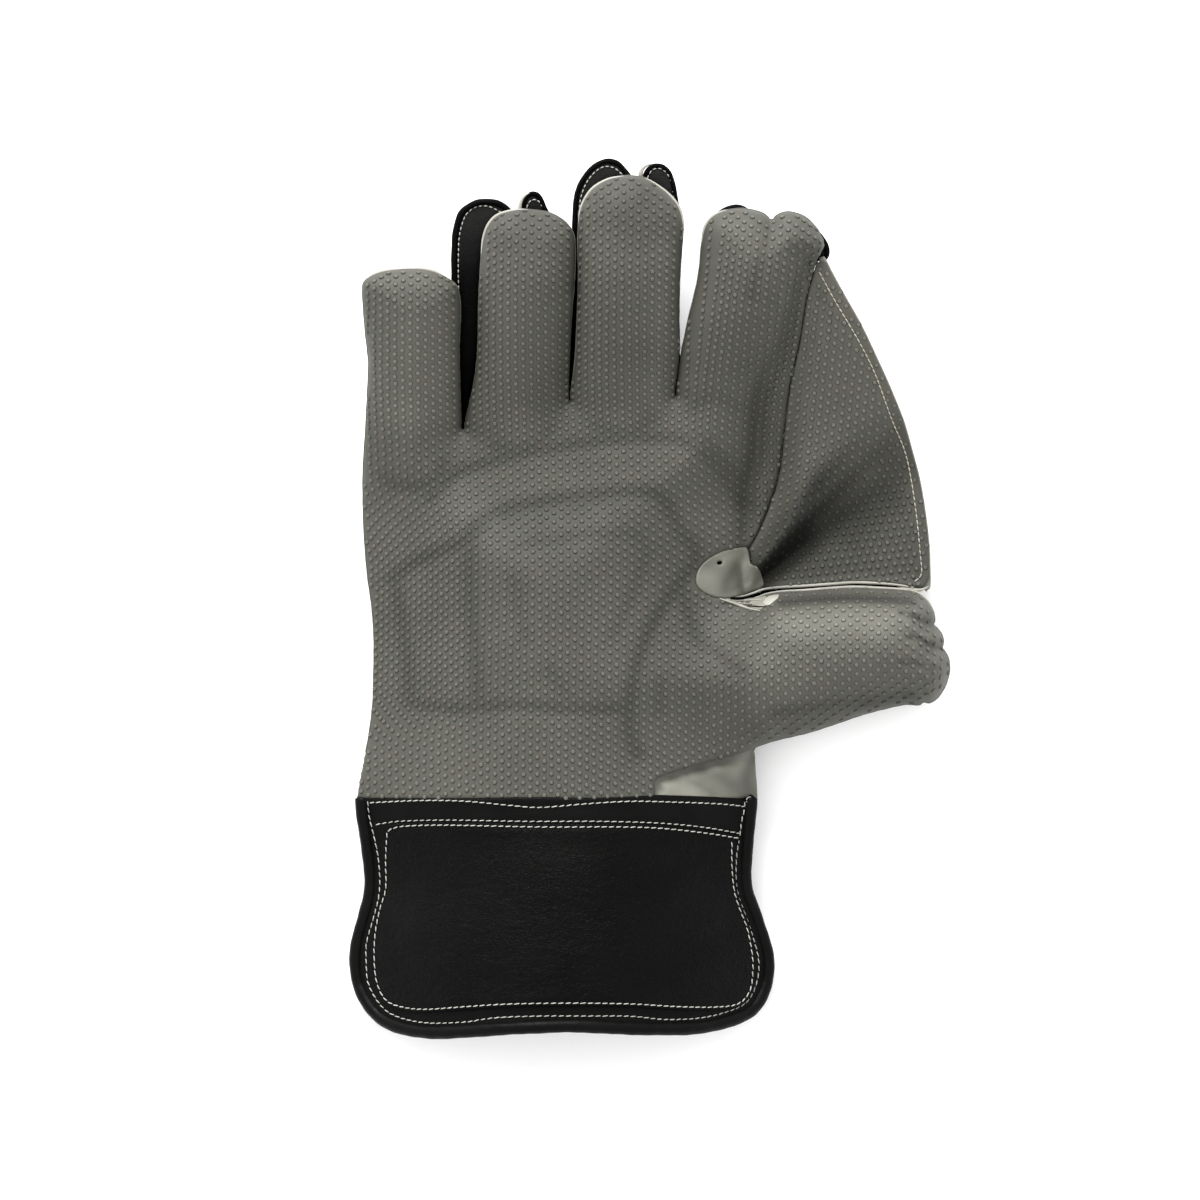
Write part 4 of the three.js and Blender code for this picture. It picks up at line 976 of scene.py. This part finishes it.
HAND_BACK = np.vstack([spline(PALM_BACK)[1:], rows("376,441 388,438.5 410,436 463,433 516,432 567,409 624,407 677,402 735,401.5 786,402"),
                       seam[64:-6], rows("744,600 749,640 750,700 751,746 754,757 755,768 756,784 756,797 748,799.5 700,799.5 "
                                                  "600,799.5 500,799.5 420,799.5 366,799.5")])
back_sheet("hand_back", HAND_BACK, ["440,440 436,520 436,600 440,700 448,790", "516,436 512,520 511,600 511,700 512,790",
                                    "600,412 596,500 592,600 588,700 586,790", "682,405 676,500 668,600 660,700 654,790",
                                    "380,520 450,505 560,488 660,480 750,492"])
for name, outline, quilts in [
        ("back_little", BACK_LITTLE, ["372,350 410,356 448,350", "374,395 412,401 450,395"]),
        ("back_ring", BACK_RING, ["458,300 510,307 565,300", "460,350 514,357 565,350"]),
        ("back_middle", BACK_MIDDLE, ["577,270 628,278 680,270", "577,330 627,338 678,330"]),
        ("back_index", BACK_INDEX, ["698,290 750,298 808,290", "688,345 740,353 798,345"]),
        ("back_thumb", BACK_THUMB, ["800,594 806,660 812,726", "860,592 866,650 868,706"])]:
    back_sheet(name, outline, quilts)

# Rolled edges and stitches of the finger backs where they stand out past the front.
rolls = []
for outline, a, b, size in [(BACK_RING, "458,400", "513,213", 1.12), (BACK_RING, "521,207", "549,214", 0.85),
                            (BACK_MIDDLE, "573.8,300", "634,180", 0.9), (BACK_MIDDLE, "642,176", "681,262", 0.8),
                            (BACK_INDEX, "714,216", "752,211", 0.9), (BACK_INDEX, "812,226", "826,261", 0.9)]:
    line = spline(outline, 1.8, True)
    i, j = (int(np.argmin(np.hypot(*(line - rows(q)).T))) for q in (a, b))
    line = line[i:j + 1] if i < j else np.vstack([line[i:], line[:j + 1]])
    line = offset(line, size / UNIT * 0.98)
    r = size + 0.05 * np.sin(np.arange(len(line)) * 0.5)
    r[:3] *= np.array([0.7, 0.85, 0.95])
    r[-3:] *= np.array([0.95, 0.85, 0.7])
    rolls.append(tube(np.c_[to_mm(line), back_top(line[:, 0], line[:, 1]) - 0.35], r, 12))
co, tr = joined(rolls)
add_mesh("back_piping", co, tr, BLACK, "leather_black")
lines = [spline(rows(q), 1.2) for q in (
    "458.8,290 458.4,275 458.6,250 459.7,235 463,222 467.3,213.6 476.4,207.2 488,206.6 499,211.5 506,217",
    "526.4,209 529.4,202.4 534,200 539,201.8 543,208.5",
    "579.4,262 579.0,230 579.8,204 584.2,188 590.4,177.4 598,170 606.2,166.8 614.6,168.6 621.6,174.4 626,179",
    "646.6,180 651.2,171.4 656,169 661.4,169.4 667.4,174.4 671.4,184 674.4,200",
    "722,214.6 729,210.4 736,209.4 744,211.4")]
co, tr = stitches([np.c_[to_mm(l), back_top(l[:, 0], l[:, 1]) - 0.25] for l in lines], 1.35, 0.4, 0.2, 0.03, 0.22)
add_mesh("back_stitches", co, tr, THREAD, "leather_pale")
bits = []
for pts, r in [("516.6,214 517.2,207 518.6,201 521.8,195.6 526.6,191.8 531,190.8", 0.62),
               ("637.6,180 638.2,172.6 640.6,167.4 645.4,163.4 651,161.8", 0.72)]:
    l = spline(rows(pts), 1.4)
    t = np.linspace(0, 1, len(l))
    bits.append(tube(np.c_[to_mm(offset(l, 2.7)), back_top(l[:, 0], l[:, 1]) + 0.1], r * (1 - 0.8 * t ** 2) + 0.06, 8, False, 0.7))
co, tr = joined(bits)
add_mesh("tip_lining", co, tr, PALE, "leather_pale")

# ------------------------------------------------------------------ cuff
edge = spline(CUFF_EDGE)
inner = offset(edge, -9.0)
outer_stitch = spline(STITCH_OUT_LEFT, 2.0)
from_edge = distance(edge, outer_stitch[:, 0], outer_stitch[:, 1])
need = mix(12.5, 16.0, ease(802, 860, outer_stitch[:, 1]))
nearest = edge[np.argmin(np.hypot(outer_stitch[:, None, 0] - edge[None, :, 0], outer_stitch[:, None, 1] - edge[None, :, 1]), axis=1)]
push = np.maximum(1.0, need / np.maximum(from_edge, 1))[:, None]
outer_stitch = nearest * (1 - push) + outer_stitch * push
outer_stitch[1:-1] = (outer_stitch[:-2] + outer_stitch[1:-1] * 2 + outer_stitch[2:]) / 4
seams_ = [(0.55, 0.7, outer_stitch), (0.5, 0.7, STITCH_TOP), (0.35, 0.6, STITCH_UPPER)]
cuff_seams = [(d, w, spline(p)) for d, w, p in seams_]


def cuff_top(x, y):
    z = cuff(x, y)
    for depth, width, path in cuff_seams:
        z = z - depth * gauss(distance(path, x, y) * UNIT, width)
    rise = np.maximum(0, front(x, np.minimum(y, 797)) + 0.45 - z)
    return z + rise * (1 - ease(797, 812, y))


cuff_outline = np.vstack([offset(edge, -6.0)[2:-2][::-1], spline(CUFF_TOP)[::-1]])
sheet("cuff_front", cuff_outline, cuff_top, CUFF_T, CUFF_LOOK, "leather_black", 1.5, 0.25, node="cuff_front", pad=0.6)
panel_line = spline(PANEL, 2.4, True)
panel_path = spline(np.vstack([STITCH_PANEL, STITCH_PANEL_TOP[::-1][:-1]]), 2.4, True)


def panel_top(x, y):
    z = cuff(x, y) + 1.35
    z = z - 0.45 * gauss(distance(panel_path, x, y, True) * UNIT, 0.65)
    return z + 0.5 * ease(3, 16, distance(panel_path, x, y, True) * UNIT)


panel_out = offset(panel_line, -3.2, True)
if abs(inside(panel_line, panel_out[:, 0], panel_out[:, 1]).mean()) > 0.5:
    panel_out = offset(panel_line, 3.2, True)
sheet("cuff_panel", panel_out, panel_top, 1.6, PANEL_LOOK, "cuff_leather", 1.4, 0.4, node="cuff_panel", pad=0.4)

roll_back_z = lambda y: mix(6.4, 3.3, ease(799, 870, y))
line = offset(edge, -6.9)
rb = roll_back_z(line[:, 1])
rf = np.maximum(rb + 6.0, cuff_height(line[:, 0], line[:, 1]) - 0.7)
wob = 0.10 * np.sin(np.arange(len(line)) * 0.31) + 0.07 * np.sin(np.arange(len(line)) * 0.83 + 1)
for name, z in (("cuff_front_roll", rf), ("cuff_back_roll", rb)):
    co, tr = tube(np.c_[to_mm(line), np.maximum(z - (0.6 if name == "cuff_back_roll" else 0), 2.42)], 2.3 + 0.6 * wob, 18)
    add_mesh(name, co, tr, PIPING, "leather_black", name)
sheet("cuff_back", np.vstack([offset(edge, -10.5)[1:-1][::-1], rows("358,800 755,800")]),
      lambda x, y: cuff_under(x, y) + BACK_T, BACK_T, BLACK, "leather_black", 2.2, 0.3, node="cuff_back", pad=0.4,
      bottom=lambda x, y: np.maximum(0, cuff_under(x, y)))


def lying(path, field, lift=0.0):
    l = spline(path, 1.6)
    return np.c_[to_mm(l), field(l[:, 0], l[:, 1]) + lift]


co, tr = stitches([lying(outer_stitch, cuff_top, 0.1), lying(STITCH_TOP, cuff_top), lying(STITCH_UPPER, cuff_top)],
                  2.2, 0.3, 0.19, 0.13)
add_mesh("cuff_stitches", co, tr, THREAD, "leather_pale")
co, tr = stitches([lying(STITCH_PANEL, panel_top), lying(STITCH_PANEL_TOP, panel_top)], 2.2, 0.3, 0.19, 0.13)
add_mesh("panel_stitches", co, tr, THREAD, "leather_pale")
co, tr = stitches([lying(WEB_STITCH, web, 0.12)], 1.9, 0.14, 0.23, 0.05, 0.26)
add_mesh("web_stitches", co, tr, CREAM, "leather_pale")
loop = spline(rows("746.5,800 748,797.6 751.2,797.4 753,799.6 752,802.6 749,803.4 746.6,801.8"), 0.8)
co, tr = tube(np.c_[to_mm(loop), cuff_top(loop[:, 0], loop[:, 1]) + 0.6 + 0.4 * np.sin(np.linspace(0, 3.1, len(loop)))], 0.16, 6)
add_mesh("thread_end", co, tr, THREAD, "leather_pale")

# ------------------------------------------------------------------ pimples
# Rings of a pimple from its foot up: radius and height in mm, and a factor on its colour: darkest in the ring round the
# foot (painted shade), lightest near the top (painted highlight).
PROFILE = np.array([[1.08, -0.10, 0.72], [0.90, 0.05, 0.30], [0.77, 0.25, 0.72], [0.56, 0.50, 1.18], [0.24, 0.42, 1.12]])


def pimples(name, field, x, y, painted_light, scale=0.94, flat=None):
    """Small domes with a dimple, standing along the surface's normal."""
    n, k = len(x), 8
    gx, gy = field.slope(x, y, 2.0)
    nrm = np.c_[-gx, gy, np.ones(n)]          # y of the table runs down
    nrm /= np.linalg.norm(nrm, axis=1)[:, None]
    tx = np.c_[np.ones(n), np.zeros(n), gx]
    tx -= nrm * (tx * nrm).sum(1)[:, None]
    tx /= np.linalg.norm(tx, axis=1)[:, None]
    ty = np.cross(nrm, tx)
    base = np.c_[(x - MIDX) * UNIT, (MIDY - y) * UNIT, field(x, y)]
    size = scale * rng.uniform(0.94, 1.06, n)
    high = np.ones(n) if flat is None else flat
    turn = rng.uniform(0, 2 * np.pi, n)
    co = []
    for r, h, _ in PROFILE:
        for i in range(k):
            a = turn + 2 * np.pi * i / k
            co.append(base + (r * size)[:, None] * (tx * np.cos(a)[:, None] + ty * np.sin(a)[:, None])
                      + (h * high)[:, None] * nrm)
    co.append(base + (0.36 * high)[:, None] * nrm)
    co.append(base - 0.14 * nrm)
    co = np.stack(co, 1)
    m = co.shape[1]
    tris = []
    for j in range(len(PROFILE) - 1):
        for i in range(k):
            a, b = j * k + i, j * k + (i + 1) % k
            tris += [(a, b, b + k), (a, b + k, a + k)]
    j = (len(PROFILE) - 1) * k
    for i in range(k):
        tris.append((j + i, j + (i + 1) % k, m - 2))
        tris.append((i, m - 1, (i + 1) % k))
    tris = (np.array(tris)[None] + (np.arange(n) * m)[:, None, None]).reshape(-1, 3)
    # Each ring's painted light and shade, then the top's and the underside's.
    ring_painted_light = np.r_[np.repeat(PROFILE[:, 2], k), 1.06, 0.7]
    add_mesh(name, co.reshape(-1, 3), tris, PIMPLE_PAINTED_LIGHT, "rubber_facing", shade=(painted_light(x, y)[:, None] * ring_painted_light[None]).ravel())


def lattice(box, pu, pv, place, turn=0.0, about=(0, 0)):
    """Points of a hexagonal lattice with upright columns pu apart and pv up a column, moved by place(u, v)."""
    x0, x1, y0, y1 = box
    r = max(x1 - x0, y1 - y0)
    i, j = np.meshgrid(np.arange(-int(r / pu), int(r / pu) + 1), np.arange(-int(r / pv), int(r / pv) + 1))
    u, v = (i * pu).ravel(), ((j + 0.5 * (i % 2)) * pv).ravel()
    c, s = math.cos(turn), math.sin(turn)
    x, y = about[0] + u * c - v * s, about[1] + u * s + v * c
    keep = (x > x0 - 60) & (x < x1 + 30) & (y > y0 - 60) & (y < y1 + 30)
    return place(x[keep], y[keep])


def squeeze(x, y):
    """Draws the columns together where the surface turns away at the fingers' sides and the palm's edge."""
    k = ease(470, 395, y)
    out = x.copy()
    for path, c0, c1, half in [(little, 413, 411, 48), (ring, 520, 528.5, 49), (middle, 625, 631, 52), (index, 728, 748, 50)]:
        c = mix(c0, c1, ease(430, 250, y))
        t = (x - c) / half
        pull = -half * 0.026 * np.sin(np.pi * np.clip(t, -1, 1))
        out += np.where(np.abs(t) < 1, -pull * k, 0)
    out += ease(470, 560, y) * (1 - ease(690, 740, y)) * 0.23 * np.clip(465 - x, 0, 300)     # closer columns on the palm's left
    out += 0.10 * np.clip(430 - y, 0, 400) * ease(678, 702, x)                               # the forefinger leans
    yy = y + 1.6 * np.sin((x + y) / 63.0) + 1.0 * np.sin(x / 37.0)
    yy += np.interp(y, [139, 239, 325, 430], [16.7, 20.7, 14.7, 0]) * ease(480, 430, y)
    yy += 0.02 * np.clip(y - 430, 0, 400) + 0.05 * np.clip(y - 600, 0, 200) * ease(690, 760, x)
    return out + 1.4 * np.sin(y / 71.0), yy


def clear(x, y, outline, holes, margin):
    keep = inside(outline, x, y)
    x, y = x[keep], y[keep]
    d = distance(outline, x, y, True)
    for h in holes:
        keep = ~inside(h, x, y)
        d = np.minimum(d, distance(h, x, y, True))
        d = np.where(keep, d, 0)
    return x[d > margin], y[d > margin]


px, py = lattice((352, 958, 160, 802), 7.05, 8.4, squeeze, 0.0, (560, 500))
jitter = rng.normal(0, 0.22, (2, len(px)))
px, py = px + jitter[0], py + jitter[1]
px, py = clear(px, py, facing_outline, [patch_line, TAB, FLAP], 1.25)
dip = distance(spline(rows("757,611 790,604 830,600 870,600 905,604"), 5), px, py)
flatness = np.where((py > 588) & (dip < 6) & (px > 757), 0.7, 1.0)
groups = {"pimples_fingers": py < 430, "pimples_palm": (py >= 430) & (py < 600),
          "pimples_heel": (py >= 600) & ((px < 690)), "pimples_thumb": (py >= 600) & (px >= 690)}
for name, pick in groups.items():
    pimples(name, front, px[pick], py[pick], front_painted_light, flat=flatness[pick])
wx0, wy0 = [], []
for turn, pick in [(math.radians(6), lambda a, x, y: (a < 0)), (math.radians(23), lambda a, x, y: (a >= 0))]:
    x, y = lattice((745, 935, 255, 590), 7.35, 8.5, lambda x, y: (x, y), turn, (840, 430))
    a = ((y - 572) * 0.72 + (x - 766) * 0.69) * UNIT
    keep = pick(a, x, y)
    wx0.append(x[keep])
    wy0.append(y[keep])
wx, wy = np.concatenate(wx0), np.concatenate(wy0)
wx, wy = wx + rng.normal(0, 0.22, len(wx)), wy + rng.normal(0, 0.22, len(wy))
wx, wy = clear(wx, wy, web_outline, [patch_line], 1.3)
d = distance(spline(WEB_STITCH), wx, wy)
wx, wy, d = wx[d > 2.4], wy[d > 2.4], d[d > 2.4]
hem_side = inside(np.vstack([spline(WEB_STITCH), rows("930,600 960,600 960,250 818,250")]), wx, wy)
pimples("pimples_web", web, wx, wy, web_painted_light, flat=np.where(hem_side, 0.35, 1.0))

# ------------------------------------------------------------------ floor, light and camera
k = Look("floor", 0.8, 0.1)
k.colour(k.blend(k.ramp(k.noise(6, 2), 0.3, 0.7), (0.93, 0.93, 0.93), (0.95, 0.95, 0.95)))
k.bump(k.noise(300, 2), 0.0001, 0.1)
me = bpy.data.meshes.new("floor")
me.from_pydata([(-6, -6, -0.0004), (6, -6, -0.0004), (6, 6, -0.0004), (-6, 6, -0.0004)], [], [(0, 1, 2, 3)])
me.materials.append(k.m)
floor = bpy.data.objects.new("floor", me)
bpy.context.scene.collection.objects.link(floor)

world = bpy.data.worlds.new("studio")
bpy.context.scene.world = world
world.use_nodes = True
world.node_tree.nodes["Background"].inputs["Color"].default_value = (1.0, 1.0, 1.0, 1.0)
world.node_tree.nodes["Background"].inputs["Strength"].default_value = 1.64


def area_light(name, place, size, power):
    data = bpy.data.lights.new(name, "AREA")
    data.shape, data.size, data.energy = "SQUARE", size, power
    o = bpy.data.objects.new(name, data)
    o.location = place
    o.rotation_euler = (-Vector(place)).to_track_quat("-Z", "Y").to_euler()
    bpy.context.scene.collection.objects.link(o)


area_light("key", (-0.55, 2.3, 1.3), 1.5, 152)
bpy.context.scene.view_settings.view_transform = "Standard"

camera = bpy.data.cameras.new("camera")
camera.sensor_width = 36
camera.lens = 36 * 7.975 / 0.408
camera.clip_start, camera.clip_end = 1.0, 20.0
eye = bpy.data.objects.new("camera", camera)
eye.location = ((600 - MIDX) * UNIT / 1000, (MIDY - 600) * UNIT / 1000, 8.0)
bpy.context.scene.collection.objects.link(eye)
bpy.context.scene.camera = eye
